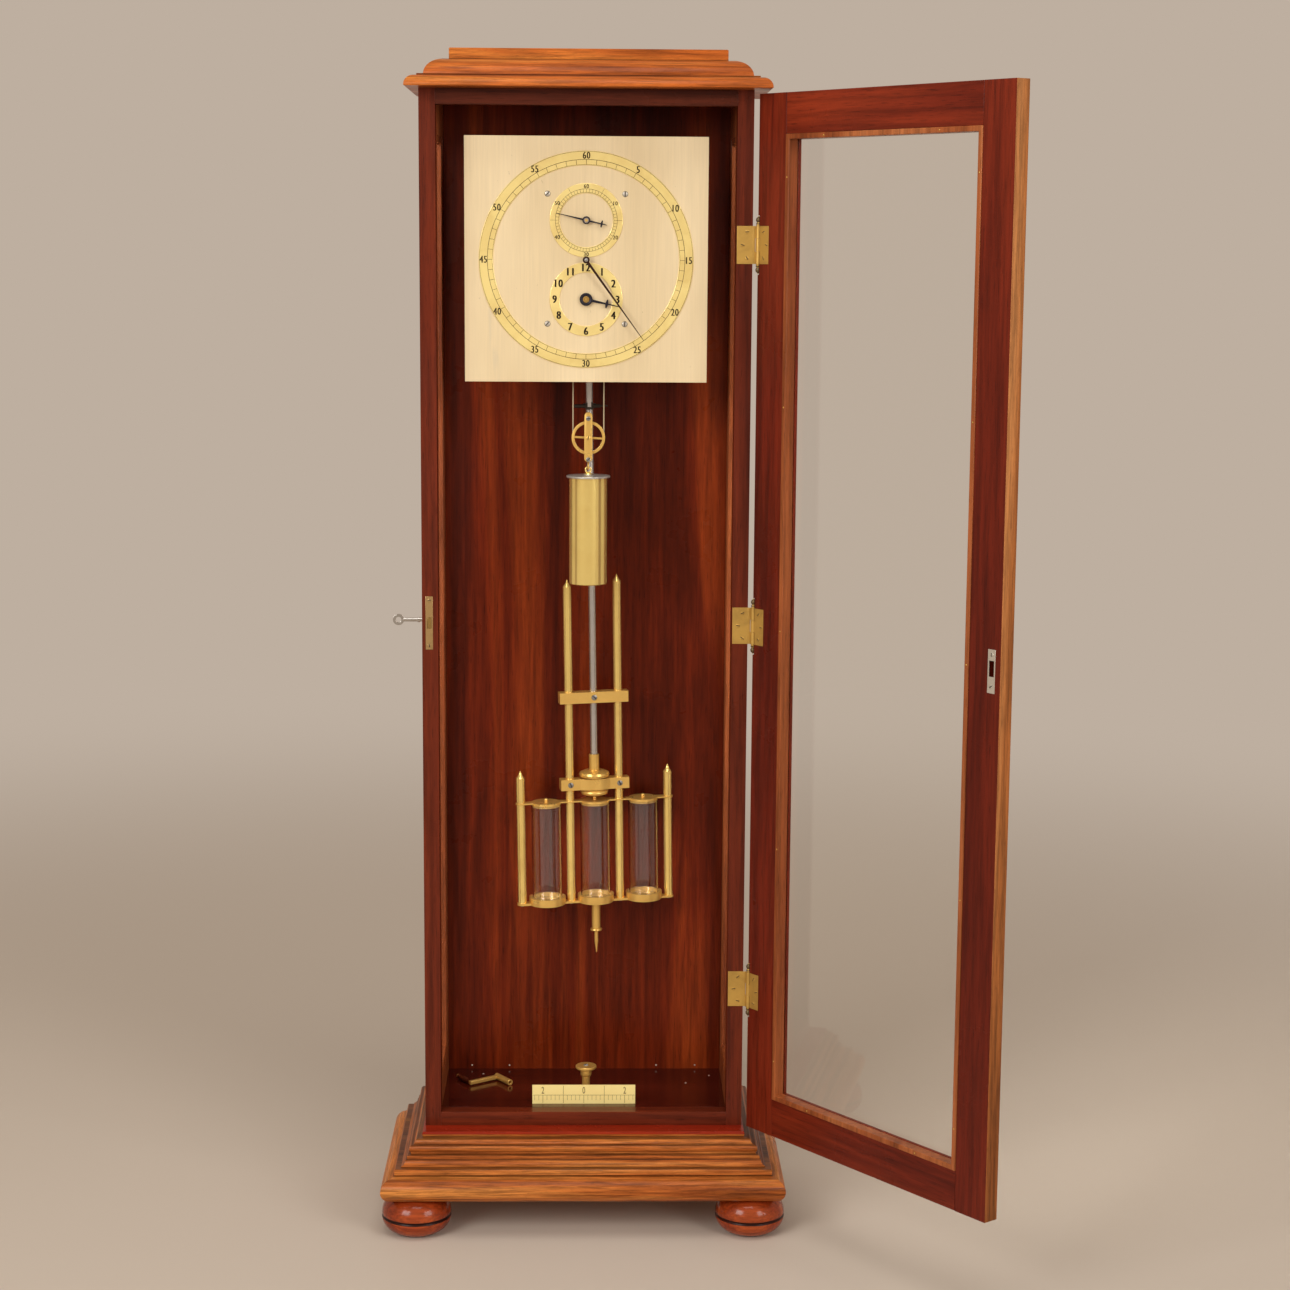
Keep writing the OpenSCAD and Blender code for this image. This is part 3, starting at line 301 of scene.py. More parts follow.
def wood(name, dark, middle, light, along="Z", figure=11.0, gloss=0.34, coat=0.04, streaks=0.5,
         sheen=0.14, turn=(0, 0, 0), quirks=()):
    """Varnished wood: broad figure, fine streaks and short dark pores along the grain.

    figure sets how fine the figure is, gloss how rough the varnish, and turn lays the grain along a
    rail of the open door.
    """
    material, tree, shader = start_material(name)

    def grain(stretch):
        if turn == (0, 0, 0):
            return grain_places(tree, along, stretch)
        straight = place(tree, (1, 1, 1), turn)
        return node(tree, "ShaderNodeMapping", Vector=straight,
                    Scale=(ALONG_GRAIN * stretch, stretch, stretch)).outputs["Vector"]

    broad = noise(tree, grain(1.0), figure, 5.0, 0.6, 0.8)
    base = ramp(tree, broad, [(0.34, dark), (0.50, middle), (0.66, light)])
    fine = noise(tree, grain(1.0), figure * 14, 4.0, 0.65, 0.3)
    lines = ramp(tree, fine, [(0.36, grey(1.0 - streaks)), (0.62, grey(1.0))])
    base = mixed(tree, 0.8, base, lines, "MULTIPLY")
    pores = noise(tree, grain(2.2), figure * 42, 2.0, 0.5)
    pits = ramp(tree, pores, [(0.30, grey(0.45)), (0.40, grey(1.0))])
    base = mixed(tree, 0.75, base, pits, "MULTIPLY")
    # Painted shade in the quirks of the mouldings
    base = gathered_dirt(tree, base, quirks)
    tree.links.new(base, shader.inputs["Base Color"])
    rough = ramp(tree, noise(tree, place(tree, (1, 1, 1)), 9.0, 5.0),
                 [(0.3, grey(gloss - 0.07)), (0.7, grey(gloss + 0.10))])
    tree.links.new(rough, shader.inputs["Roughness"])
    shader.inputs["Specular IOR Level"].default_value = sheen
    shader.inputs["Coat Weight"].default_value = coat
    shader.inputs["Coat Roughness"].default_value = 0.12
    height = mixed(tree, 0.5, fine, pits)
    bump(tree, shader, height, 0.16)
    return material


# Metals

def metal(name, colour, dull, gloss=0.22, spread=0.12, brush=None, spots=0.35, metallic=0.62):
    """Polished or brushed metal with patches of tarnish and fine rubbing marks.

    gloss is the roughness of the clean metal, and spread is how much rougher its tarnish is.
    """
    material, tree, shader = start_material(name)
    patches = noise(tree, place(tree, (1, 1, 1)), 26.0, 4.0, 0.55, 0.6)
    fleck = noise(tree, place(tree, (1, 1, 1), shift=(3, 1, 2)), 520.0, 3.0, 0.6)
    aged = ramp(tree, patches, [(0.42, grey(0.0)), (0.78, grey(spots))])
    specks = ramp(tree, fleck, [(0.68, grey(0.0)), (0.80, grey(0.6 * spots))])
    shade = mixed(tree, aged, colour, dull)
    shade = mixed(tree, specks, shade, dull)
    tree.links.new(shade, shader.inputs["Base Color"])
    shader.inputs["Metallic"].default_value = metallic
    rough = ramp(tree, patches, [(0.35, grey(gloss)), (0.75, grey(gloss + spread))])
    tree.links.new(rough, shader.inputs["Roughness"])
    rubbing = noise(tree, place(tree, brush or (1, 1, 1)), 900.0, 2.0, 0.5)
    bump(tree, shader, rubbing, 0.05 if brush is None else 0.10, 0.0001)
    return material


def silvered(name):
    """The dial plate: pale silvering over brass, brushed upright, with a few rubbed and spotted places."""
    material, tree, shader = start_material(name)
    clouds = noise(tree, place(tree, (1, 1, 0.35)), 9.0, 3.0, 0.5)
    base = ramp(tree, clouds, [(0.30, tone(224, 200, 156)), (0.70, tone(240, 218, 176))])
    strokes = noise(tree, place(tree, (1, 1, 0.03)), 330.0, 3.0, 0.6)
    fine = ramp(tree, strokes, [(0.30, grey(0.92)), (0.70, grey(1.0))])
    base = mixed(tree, 1.0, base, fine, "MULTIPLY")
    spots = noise(tree, place(tree, (1, 1, 0.6), shift=(0.4, 0, 0.2)), 95.0, 4.0, 0.7)
    worn = ramp(tree, spots, [(0.69, grey(0.0)), (0.75, grey(0.7))])
    base = mixed(tree, worn, base, tone(150, 128, 92))
    smudges = noise(tree, place(tree, (1, 1, 0.22), shift=(0.1, 0, 0.7)), 26.0, 3.0, 0.6)
    rubbed = ramp(tree, smudges, [(0.66, grey(0.0)), (0.76, grey(0.4))])
    base = mixed(tree, rubbed, base, tone(196, 184, 160))
    tree.links.new(base, shader.inputs["Base Color"])
    shader.inputs["Metallic"].default_value = 0.15
    rough = ramp(tree, clouds, [(0.3, grey(0.36)), (0.7, grey(0.46))])
    tree.links.new(rough, shader.inputs["Roughness"])
    bump(tree, shader, strokes, 0.06, 0.0001)
    return material


def clear_glass(name, tint):
    """Clean glass with faint smears, which lets the lamps' light through to what stands behind it."""
    material, tree, shader = start_material(name)
    smears = noise(tree, place(tree, (1, 1, 0.3)), 14.0, 4.0)
    dust = ramp(tree, smears, [(0.45, grey(0.0)), (0.8, grey(0.035))])
    tree.links.new(dust, shader.inputs["Roughness"])
    shader.inputs["Base Color"].default_value = tint
    shader.inputs["Transmission Weight"].default_value = 1.0
    shader.inputs["IOR"].default_value = 1.45
    rays = node(tree, "ShaderNodeLightPath")
    through = node(tree, "ShaderNodeBsdfTransparent", Color=tint)
    both = node(tree, "ShaderNodeMixShader", _0=rays.outputs["Is Shadow Ray"], _1=shader.outputs[0],
                _2=through.outputs[0])
    show(tree, both)
    return material


def wax(name, colour, worn_colour):
    """Black wax in an engraved line, a little worn."""
    material, tree, shader = start_material(name)
    worn = noise(tree, place(tree, (1, 1, 1)), 300.0, 3.0)
    shade = ramp(tree, worn, [(0.45, colour), (0.80, worn_colour)])
    tree.links.new(shade, shader.inputs["Base Color"])
    shader.inputs["Roughness"].default_value = 0.6
    shader.inputs["Specular IOR Level"].default_value = 0.1
    return material


GOLDEN = (tone(136, 62, 18), tone(192, 98, 36), tone(220, 134, 56))
PLINTH_BROWN = (tone(124, 56, 20), tone(190, 102, 42), tone(226, 144, 70))
DOOR_BROWN = (tone(122, 64, 26), tone(172, 102, 50), tone(200, 132, 76))
DEEP_RED = (tone(76, 18, 8), tone(112, 34, 16), tone(142, 50, 24))
STILE_RED = (tone(72, 24, 12), tone(108, 40, 20), tone(142, 60, 30))
PANEL_RED = (tone(64, 16, 5), tone(108, 34, 10), tone(150, 60, 20))

cornice_wood = wood("cornice wood", *GOLDEN, along="round", figure=24.0, streaks=0.6, quirks=CORNICE_QUIRKS)
plinth_wood = wood("plinth wood", *PLINTH_BROWN, along="round", figure=24.0, streaks=0.7,
                   quirks=PLINTH_QUIRKS)
side_wood = wood("case side wood", *GOLDEN, along="Z", figure=20.0, streaks=0.6)
inner_side_wood = wood("case inner side wood", tone(108, 48, 24), tone(154, 80, 42), tone(182, 104, 58),
                       along="Z", figure=12.0)
stile_wood = wood("front stile wood", *STILE_RED, along="Z", figure=9.0, gloss=0.32)
rail_wood = wood("front rail wood", *STILE_RED, along="X", figure=9.0, gloss=0.32)
# A darker rail wood for the header: painted shade for the cornice's shadow on it
header_painted_shade_wood = wood("header rail wood painted shade", tone(50, 18, 10), tone(78, 30, 17), tone(104, 46, 28), along="X",
                   figure=9.0, gloss=0.32)
ledge_wood = wood("ledge wood", tone(110, 24, 10), tone(146, 38, 16), tone(160, 52, 24), along="X",
                  figure=9.0, gloss=0.24, streaks=0.25)
door_wood = wood("door stile wood", *DEEP_RED, along="Z", figure=9.0, gloss=0.30)
door_rail_wood = wood("door rail wood", *DEEP_RED, figure=9.0, gloss=0.30,
                      turn=(0, 0, math.radians(-DOOR_OPEN)))
door_edge_wood = wood("door edge wood", *DOOR_BROWN, along="Z", figure=14.0, streaks=0.6)
door_face_wood = wood("door rail face wood", *DOOR_BROWN, figure=14.0, streaks=0.6,
                      turn=(0, 0, math.radians(-DOOR_OPEN)))
bead_wood = wood("glazing bead wood", tone(128, 60, 30), tone(166, 90, 48), tone(192, 116, 68),
                 along="Z", figure=10.0)
panel_wood = wood("back panel wood", *PANEL_RED, along="Z", figure=9.0, gloss=0.30, coat=0.02,
                  streaks=0.55, sheen=0.10)
floor_wood = wood("case floor wood", tone(50, 13, 7), tone(70, 19, 10), tone(86, 27, 14),
                  along="X", figure=8.0, gloss=0.10, coat=0.5, streaks=0.3)
foot_wood = wood("turned foot wood", tone(116, 38, 14), tone(158, 62, 26), tone(188, 88, 40),
                 along="X", figure=22.0, gloss=0.18, coat=0.3)
# Painted shade in the groove round each foot
groove_painted_shade_wood = wood("foot groove painted shade wood", tone(40, 14, 8), tone(56, 20, 10), tone(70, 28, 14), along="X")
handle_wood = wood("turned handle wood", tone(60, 22, 12), tone(84, 34, 18), tone(104, 46, 26),
                   along="Y", figure=60.0, gloss=0.2)

polished_brass = metal("polished brass", tone(236, 192, 104), tone(180, 132, 60), 0.26, 0.12)
turned_brass = metal("turned brass", tone(234, 190, 102), tone(172, 124, 54), 0.26, 0.12,
                     brush=(1, 1, 30))
rod_brass = metal("drawn brass rod", tone(255, 222, 134), tone(196, 148, 70), 0.17, 0.10,
                  brush=(30, 30, 1), metallic=0.75)
ring_brass = metal("chapter ring brass", tone(255, 230, 150), tone(196, 150, 70), 0.18, 0.10,
                   spots=0.4, metallic=0.35)
hinge_brass = metal("hinge brass", tone(206, 164, 82), tone(120, 88, 40), 0.34, 0.16, spots=0.5)
lock_brass = metal("lock brass", tone(176, 142, 92), tone(96, 74, 44), 0.30, 0.18, spots=0.9)
weight_brass = metal("weight brass", tone(255, 226, 138), tone(214, 166, 80), 0.15, 0.08,
                     brush=(30, 30, 1), metallic=0.72)
pin_brass = metal("hinge pin brass", tone(112, 92, 60), tone(66, 52, 34), 0.36, 0.14, spots=0.6)
bright_steel = metal("bright steel", tone(204, 198, 192), tone(128, 122, 116), 0.17, 0.10,
                     brush=(30, 30, 1), metallic=0.85)
nickel = metal("strike plate nickel", tone(206, 198, 184), tone(130, 120, 104), 0.28, 0.14)
key_steel = metal("key steel", tone(190, 184, 176), tone(84, 78, 72), 0.14, 0.10, metallic=0.9)
blued_steel = metal("blued steel", tone(44, 42, 52), tone(28, 24, 26), 0.30, 0.12)
black_iron = metal("blackened iron", tone(62, 54, 44), tone(34, 28, 22), 0.42, 0.16)
hand_steel = metal("browned hand steel", tone(60, 34, 26), tone(36, 22, 20), 0.30, 0.12)
# Dark metal for painted shade in screw slots and round screw heads
slot_shadow = metal("screw slot", tone(44, 36, 28), tone(24, 20, 16), 0.6, 0.1, metallic=0.2)
screw_steel = metal("screw steel", tone(150, 146, 140), tone(82, 78, 74), 0.28, 0.12)
cap_steel = metal("weight cap steel", tone(206, 202, 192), tone(140, 132, 116), 0.24, 0.12)
bolt_brass = metal("bolt brass", tone(150, 118, 64), tone(92, 70, 38), 0.34, 0.14)
scale_brass = metal("beat scale brass", tone(255, 234, 156), tone(244, 208, 124), 0.38, 0.10,
                    brush=(40, 1, 1), metallic=0.12)
gut_line = metal("weight line gut", tone(190, 172, 138), tone(130, 112, 84), 0.5, 0.1, metallic=0.0)
dial_plate_silver = silvered("silvered dial plate")
pane_glass = clear_glass("window glass", (0.97, 0.96, 0.94, 1.0))
jar_glass = clear_glass("jar glass", (0.97, 0.96, 0.98, 1.0))
dial_wax = wax("dial engraving wax", tone(26, 20, 14), tone(74, 52, 26))
scale_wax = wax("scale engraving wax", tone(74, 56, 28), tone(130, 102, 54))


# Parts drawn in millimetres with bmesh operators

def add(target, part, where=None):
    """Adds a finished bmesh to another, placed by a matrix, and frees it."""
    if where is not None:
        bmesh.ops.transform(part, matrix=where, verts=part.verts)
    scratch = bpy.data.meshes.new("scratch")
    part.to_mesh(scratch)
    part.free()
    target.from_mesh(scratch)
    bpy.data.meshes.remove(scratch)


def piece(name, body, materials, part, where=CASE, replaces=(), angle=SMOOTH):
    """Makes a finished piece of a bmesh drawn in millimetres, riding on a body."""
    bmesh.ops.recalc_face_normals(part, faces=part.faces)
    bmesh.ops.transform(part, matrix=where, verts=part.verts)
    mesh = bpy.data.meshes.new(name)
    part.to_mesh(mesh)
    part.free()
    for material in materials if isinstance(materials, (list, tuple)) else [materials]:
        mesh.materials.append(material)
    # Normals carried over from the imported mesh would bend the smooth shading
    if "custom_normal" in mesh.attributes:
        mesh.attributes.remove(mesh.attributes["custom_normal"])
    mesh.shade_smooth()
    mesh.set_sharp_from_angle(angle=math.radians(angle))
    made = bpy.data.objects.new(name, mesh)
    bpy.context.collection.objects.link(made)
    if body is not None:
        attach(made, body)
    if replaces:
        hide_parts(*replaces)
    return made


def turned(profile, steps=48, closed=False):
    """A turned shape about z from a profile of (radius, height)."""
    part = bmesh.new()
    verts = [part.verts.new((radius, 0, height)) for radius, height in profile]
    pairs = list(zip(verts, verts[1:])) + ([(verts[-1], verts[0])] if closed else [])
    edges = [part.edges.new(pair) for pair in pairs]
    bmesh.ops.spin(part, geom=verts + edges, cent=(0, 0, 0), axis=(0, 0, 1), angle=math.tau,
                   steps=steps, use_merge=True)
    bmesh.ops.remove_doubles(part, verts=part.verts, dist=MERGE_FINE)
    bmesh.ops.recalc_face_normals(part, faces=part.faces)
    return part


def slotted_head(radius, height, slot, reach=0.98):
    """A slotted screw head on z = 0: two half rounds with eased rims standing on a thin dark disc, painted
    shade that shows in the slot and, where reach is over one, as a ring round the head.
    """
    steps = 24
    part = bmesh.new()
    for side in (1, -1):
        half = bmesh.new()
        bmesh.ops.create_circle(half, cap_ends=True, radius=radius, segments=steps)
        bmesh.ops.bisect_plane(half, geom=half.verts[:] + half.edges[:] + half.faces[:],
                               plane_co=(0, side * slot / 2, 0), plane_no=(0, side, 0), clear_inner=True)
        raised = bmesh.ops.extrude_face_region(half, geom=half.faces[:])["geom"]
        top = [item for item in raised if isinstance(item, bmesh.types.BMVert)]
        bmesh.ops.translate(half, verts=top, vec=(0, 0, height))
        rim = [edge for edge in half.edges if all(vert in top for vert in edge.verts)]
        bmesh.ops.bevel(half, geom=rim, offset=0.14 * radius, offset_type="OFFSET", segments=2,
                        profile=0.5, affect="EDGES", material=-1)
        bmesh.ops.recalc_face_normals(half, faces=half.faces)
        add(part, half)
    wide = radius * reach
    floor = turned([(0, -0.3), (wide, -0.3), (wide, height * 0.3), (0, height * 0.3)], steps)
    for face in floor.faces:
        face.material_index = 1
    add(part, floor)
    return part


def facing(point, direction, turn=0.0):
    """Places what is drawn on z = 0 at a point, facing a direction."""
    aim = Vector(direction).to_track_quat("Z", "Y").to_matrix().to_4x4()
    return Matrix.Translation(Vector(point)) @ aim @ Matrix.Rotation(math.radians(turn), 4, "Z")


def screws(name, body, material, places, radius, height=0.9, slot_w=0.8, where=CASE,
           replaces=(), reach=0.98):
    """Screws with slotted heads, from a list of (point, direction, turn of the slot)."""
    part = bmesh.new()
    for point, direction, turn in places:
        add(part, slotted_head(radius, height, slot_w, reach), facing(point, direction, turn))
    return piece(name, body, (material, slot_shadow), part, where, replaces)


def figures(text, height, narrow, weight=0.0):
    """Upright numerals drawn flat about their own middle; weight thickens only their upright strokes."""
    curve = bpy.data.curves.new("figures", "FONT")
    curve.body = text
    curve.size = height / FIGURE_SHARE
    curve.space_character = 1.0 + 1.6 * weight / height
    curve.extrude = 0.03
    curve.resolution_u = 3
    letters = bpy.data.objects.new("figures", curve)
    mesh = bpy.data.meshes.new_from_object(letters)
    part = bmesh.new()
    part.from_mesh(mesh)
    bpy.data.objects.remove(letters)
    bpy.data.curves.remove(curve)
    bpy.data.meshes.remove(mesh)
    bmesh.ops.remove_doubles(part, verts=part.verts, dist=MERGE_FINE)
    spans = [[vert.co[axis] for vert in part.verts] for axis in (0, 1)]
    middle = [(min(span) + max(span)) / 2 for span in spans]
    shape = Matrix.Diagonal((narrow, 1, 1, 1)) @ Matrix.Translation((-middle[0], -middle[1], 0))
    bmesh.ops.transform(part, matrix=shape, verts=part.verts)
    thin = part.copy()
    part.clear()
    for step in range(-1, 2) if weight else (0,):
        add(part, thin.copy(), Matrix.Translation((step * weight / 2, 0, 0.004 * step)))
    thin.free()
    return part


def stroke(x0, y0, x1, y1, width):
    """A thin engraved line between two points of a flat drawing."""
    start, end = Vector((x0, y0, 0)), Vector((x1, y1, 0))
    run = end - start
    part = bmesh.new()
    shape = (Matrix.Translation((start + end) / 2) @ Matrix.Rotation(math.atan2(run.y, run.x), 4, "Z")
             @ Matrix.Diagonal((run.length, width, 0.06, 1.0)))
    bmesh.ops.create_cube(part, size=1.0, matrix=shape)
    return part


def circle_line(radius, width):
    """A thin engraved circle of a flat drawing."""
    return turned([(radius - width / 2, -0.03), (radius + width / 2, -0.03),
                   (radius + width / 2, 0.03), (radius - width / 2, 0.03)], 96, closed=True)


def at_clock(radius, minutes):
    """A point of a flat dial, by its radius and its minute."""
    angle = math.radians(90 - 6 * minutes)
    return radius * math.cos(angle), radius * math.sin(angle)


# CAD nodes merged, eased and smoothed

def dressed(name, material, ease=0.0, angle=SMOOTH_CAD, second=None, where=CASE, shortest=0.0):
    """A merged and smoothed copy of a CAD node that stands for the node.

    Its outer arrises are eased, only those longer than shortest. second is (material, test), the
    test taking a face's middle and normal in millimetres.
    """
    part = bmesh.new()
    part.from_mesh(nodes[name].data)
    bmesh.ops.transform(part, matrix=where.inverted(), verts=part.verts)
    bmesh.ops.remove_doubles(part, verts=part.verts, dist=MERGE)
    if ease:
        bmesh.ops.dissolve_limit(part, angle_limit=math.radians(0.5), verts=part.verts[:],
                                 edges=part.edges[:])
        bmesh.ops.recalc_face_normals(part, faces=part.faces)
        sharp = [edge for edge in part.edges
                 if edge.is_manifold and edge.is_convex and edge.calc_length() > shortest
                 and edge.calc_face_angle(0.0) > math.radians(ARRIS)]
        bmesh.ops.bevel(part, geom=sharp, offset=ease, offset_type="OFFSET", segments=2, profile=0.5,
                        affect="EDGES", clamp_overlap=True, material=-1)
    materials = [material]
    if second is not None:
        materials.append(second[0])
        for face in part.faces:
            if second[1](face.calc_center_median(), face.normal):
                face.material_index = 1
    return piece(name + "_finished", BODY_OF[name], materials, part, where, (name,), angle)


def is_door_outside(middle, normal):
    return normal.y < -0.5 or middle.x < DOOR_X0 + SKIN or middle.x > DOOR_X1 - SKIN


def is_case_outside(middle, normal):
    return abs(middle.x) > HALF_W - SKIN


def is_case_inside(middle, normal):
    is_edge = abs(normal.x) < 0.5 and abs(middle.x) < HALF_W - 2
    return abs(middle.x) < HALF_W - SIDE_BOARD or is_edge


def is_foot_groove(middle, normal):
    return abs(middle.z - FOOT_GROOVE_Z) < FOOT_GROOVE_HALF


def is_crutch_arm(middle, normal):
    return middle.z > CRUTCH_ARM_Z


def is_ledge(middle, normal):
    return middle.z > BASE_TOP - LEDGE_H


def is_weight_cap(middle, normal):
    return WEIGHT_CAP[0] < middle.z - WEIGHT_Z - WEIGHT_H < WEIGHT_CAP[1]


for name, surface in (("back_panel", panel_wood), ("floor_board", floor_wood), ("header_rail", header_painted_shade_wood),
                      ("sill_rail", rail_wood), ("cornice_moulding", cornice_wood),
                      ("top_board", cornice_wood), ("plinth_lower", plinth_wood)):
    dressed(name, surface, ease=0.5)
for name in ("left_side_frame", "right_side_frame"):
    dressed(name, side_wood, ease=0.5, second=(inner_side_wood, is_case_inside))
dressed("plinth_upper", plinth_wood, ease=0.4, second=(ledge_wood, is_ledge))
dressed("front_stiles", stile_wood, second=(side_wood, is_case_outside))
dressed("bun_feet", foot_wood, angle=ARRIS, second=(groove_painted_shade_wood, is_foot_groove))
dressed("door_stiles", door_wood, ease=0.8, second=(door_edge_wood, is_door_outside), where=DOOR,
        shortest=60)
dressed("door_rails", door_rail_wood, ease=0.8, second=(door_face_wood, is_door_outside), where=DOOR)
dressed("door_beads", bead_wood, ease=0.9, where=DOOR)
dressed("weight_shell", weight_brass, ease=0.3, second=(cap_steel, is_weight_cap))
dressed("crutch", black_iron, ease=0.4, second=(bright_steel, is_crutch_arm))
dressed("crank_handle", handle_wood, angle=ARRIS)

for name, surface, ease in (
        ("hinge_case_leaves", hinge_brass, 0.25), ("hinge_door_leaves", hinge_brass, 0.25),
        ("lock_case", lock_brass, 0.25), ("lock_bolt", bolt_brass, 0.4), ("door_key", key_steel, 0.4),
        ("strike_plate", nickel, 0.3), ("seat_bracket", black_iron, 1.0), ("pillars", turned_brass, 0.3),
        ("movement_plates", polished_brass, 0.4), ("dial_plate", dial_plate_silver, 0.4),
        ("chapter_rings", ring_brass, 0.35),
        ("centre_wheel", polished_brass, 0.0), ("minute_hand", hand_steel, 0.0),
        ("great_wheel", polished_brass, 0.0), ("winding_barrel", polished_brass, 0.0),
        ("click", bright_steel, 0.15), ("third_wheel", polished_brass, 0.0),
        ("escape_wheel", polished_brass, 0.0), ("seconds_hand", blued_steel, 0.0),
        ("motion_wheel", polished_brass, 0.0), ("hour_wheel", polished_brass, 0.0),
        ("hour_hand", blued_steel, 0.0), ("pallets", bright_steel, 0.2),
        ("suspension_bracket", black_iron, 0.8), ("suspension_spring", bright_steel, 0.0),
        ("pendulum_rod", bright_steel, 0.3), ("rating_nut", turned_brass, 0.2),
        ("frame_rods", rod_brass, 0.0), ("cross_bars", polished_brass, 0.4),
        ("jar_plates", polished_brass, 0.25), ("jar_lids", turned_brass, 0.2),
        ("pendulum_pointer", turned_brass, 0.2), ("pulley_yoke", polished_brass, 0.3),
        ("pulley", turned_brass, 0.2), ("beat_scale", scale_brass, 0.3),
        ("hold_down_knob", turned_brass, 0.25), ("winding_crank", polished_brass, 0.4)):
    dressed(name, surface, ease)
dressed("glass_jars", jar_glass)

for name in ("side_glass", "door_glass"):
    nodes[name].data.materials.clear()
    nodes[name].data.materials.append(pane_glass)


# Dial engraving, filled with wax

def ring_figures(part, numbers, step, radius, height, narrow, weight):
    """Sets each number upright on its ring, a step of minutes apart."""
    for index, number in enumerate(numbers, 1):
        x, z = at_clock(radius, step * index)
        add(part, figures(str(number), height, narrow, weight), Matrix.Translation((x, z, 0)))


def engrave_ring(name, part, centre_z):
    where = CASE @ Matrix.Translation((0, RING_FACE_Y - PROUD, centre_z)) @ TO_FRONT
    piece(name, "case", dial_wax, part, where)


def minute_ring_marks():
    inner, middle, outer = MINUTE_LINES
    part = bmesh.new()
    add(part, circle_line(middle, THICK_LINE))
    add(part, circle_line(inner, THIN_LINE))
    add(part, circle_line(outer, THIN_LINE))
    for minute in range(60):
        add(part, stroke(*at_clock(inner, minute), *at_clock(middle, minute), MIDDLE_LINE))
    ring_figures(part, range(5, 65, 5), 5, MINUTE_FIGURES_R, height=9.8, narrow=0.74, weight=0.7)
    engrave_ring("minute_ring_engraving", part, MINUTE_Z)


def seconds_ring_marks():
    inner, outer = SECONDS_LINES
    part = bmesh.new()
    for radius in SECONDS_LINES:
        add(part, circle_line(radius, SECONDS_LINE))
    for second in range(60):
        add(part, stroke(*at_clock(inner, second), *at_clock(outer, second), THIN_LINE))
    for second in range(5, 65, 10):
        add(part, stroke(*at_clock(outer, second), *at_clock(SECONDS_LONG_MARK, second), THIN_LINE))
    ring_figures(part, range(10, 70, 10), 10, SECONDS_FIGURES_R, height=5.6, narrow=0.86, weight=0.45)
    engrave_ring("seconds_ring_engraving", part, SECONDS_Z)


def hour_ring_marks():
    part = bmesh.new()
    ring_figures(part, range(1, 13), 5, HOUR_FIGURES_R, height=11.0, narrow=0.78, weight=1.3)
    engrave_ring("hour_ring_engraving", part, HOUR_Z)


def hand_bosses():
    """Steel rings round the arbors on the hour and seconds hands, and the minute hand's cap."""
    ring = turned([(5.2, 0), (8.4, 0), (8.4, 0.7), (7.7, 1.2), (6.0, 1.2), (5.2, 0.7)], closed=True)
    bmesh.ops.transform(ring, matrix=facing((0, HOUR_BOSS_Y, HOUR_Z), AHEAD), verts=ring.verts)
    piece("hour_hand_boss", "hour_arbor", blued_steel, ring)
    washer = turned([(2.1, 0), (3.6, 0), (3.6, 0.5), (3.2, 0.9), (2.1, 0.9)], closed=True)
    bmesh.ops.transform(washer, matrix=facing((0, SECONDS_COLLET_Y, SECONDS_Z), AHEAD), verts=washer.verts)
    piece("seconds_hand_collet", "seconds_arbor", bright_steel, washer)
    cap = turned([(0, -0.4), (2.6, -0.4), (2.6, 0.3), (1.6, 1.2), (0, 1.5)])
    bmesh.ops.transform(cap, matrix=facing((0, MINUTE_CAP_Y, MINUTE_Z), AHEAD), verts=cap.verts)
    piece("minute_hand_cap", "minute_arbor", screw_steel, cap)


# Weight, its line and the barrel

def wound_line():
    """The turns of line lying side by side on the barrel."""
    turns = 10
    pitch = 1.9
    core = 17.2
    start_y = 12.2
    profile = [(BARREL_R, 0.0)]
    for index in range(turns):
        for step in range(5):
            angle = math.pi * step / 4
            height = pitch * (index + 0.5) - 0.95 * math.cos(angle)
            profile.append((core + LINE_HALF * math.sin(angle), height))
    profile.append((BARREL_R, pitch * turns))
    part = turned(profile, 40, closed=True)
    turn = Matrix.Translation((0, start_y, HOUR_Z)) @ TO_BACK
    bmesh.ops.transform(part, matrix=turn, verts=part.verts)
    piece("wound_line", "barrel", gut_line, part)


def weight_line():
    """One line, off the barrel, under the pulley and up to its pin."""
    steps = 24
    straight_z = PULLEY_Z + 40
    fixed_x = WEIGHT_X + GROOVE_R
    points = [(-LINE_R, 0, HOUR_Z), (-LINE_R, 0, straight_z)]
    for step in range(steps + 1):
        angle = math.pi * (1 + step / steps)
        points.append((WEIGHT_X + GROOVE_R * math.cos(angle), 0, PULLEY_Z + GROOVE_R * math.sin(angle)))
    points += [(fixed_x, 0, straight_z), (fixed_x, 0, LINE_PIN_Z - 2.6)]
    curve = bpy.data.curves.new("weight_line", "CURVE")
    curve.dimensions = "3D"
    curve.bevel_depth = LINE_HALF
    curve.bevel_resolution = 3
    curve.use_fill_caps = True
    spline = curve.splines.new("POLY")
    spline.points.add(len(points) - 1)
    for point, (x, y, z) in zip(spline.points, points):
        point.co = (x, WEIGHT_Y + y, z, 1)
    run = bpy.data.objects.new("run", curve)
    mesh = bpy.data.meshes.new_from_object(run)
    part = bmesh.new()
    part.from_mesh(mesh)
    bpy.data.objects.remove(run)
    bpy.data.curves.remove(curve)
    bpy.data.meshes.remove(mesh)
    made = piece("weight_line_gut", None, gut_line, part, replaces=("weight_line",), angle=60)
    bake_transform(made)


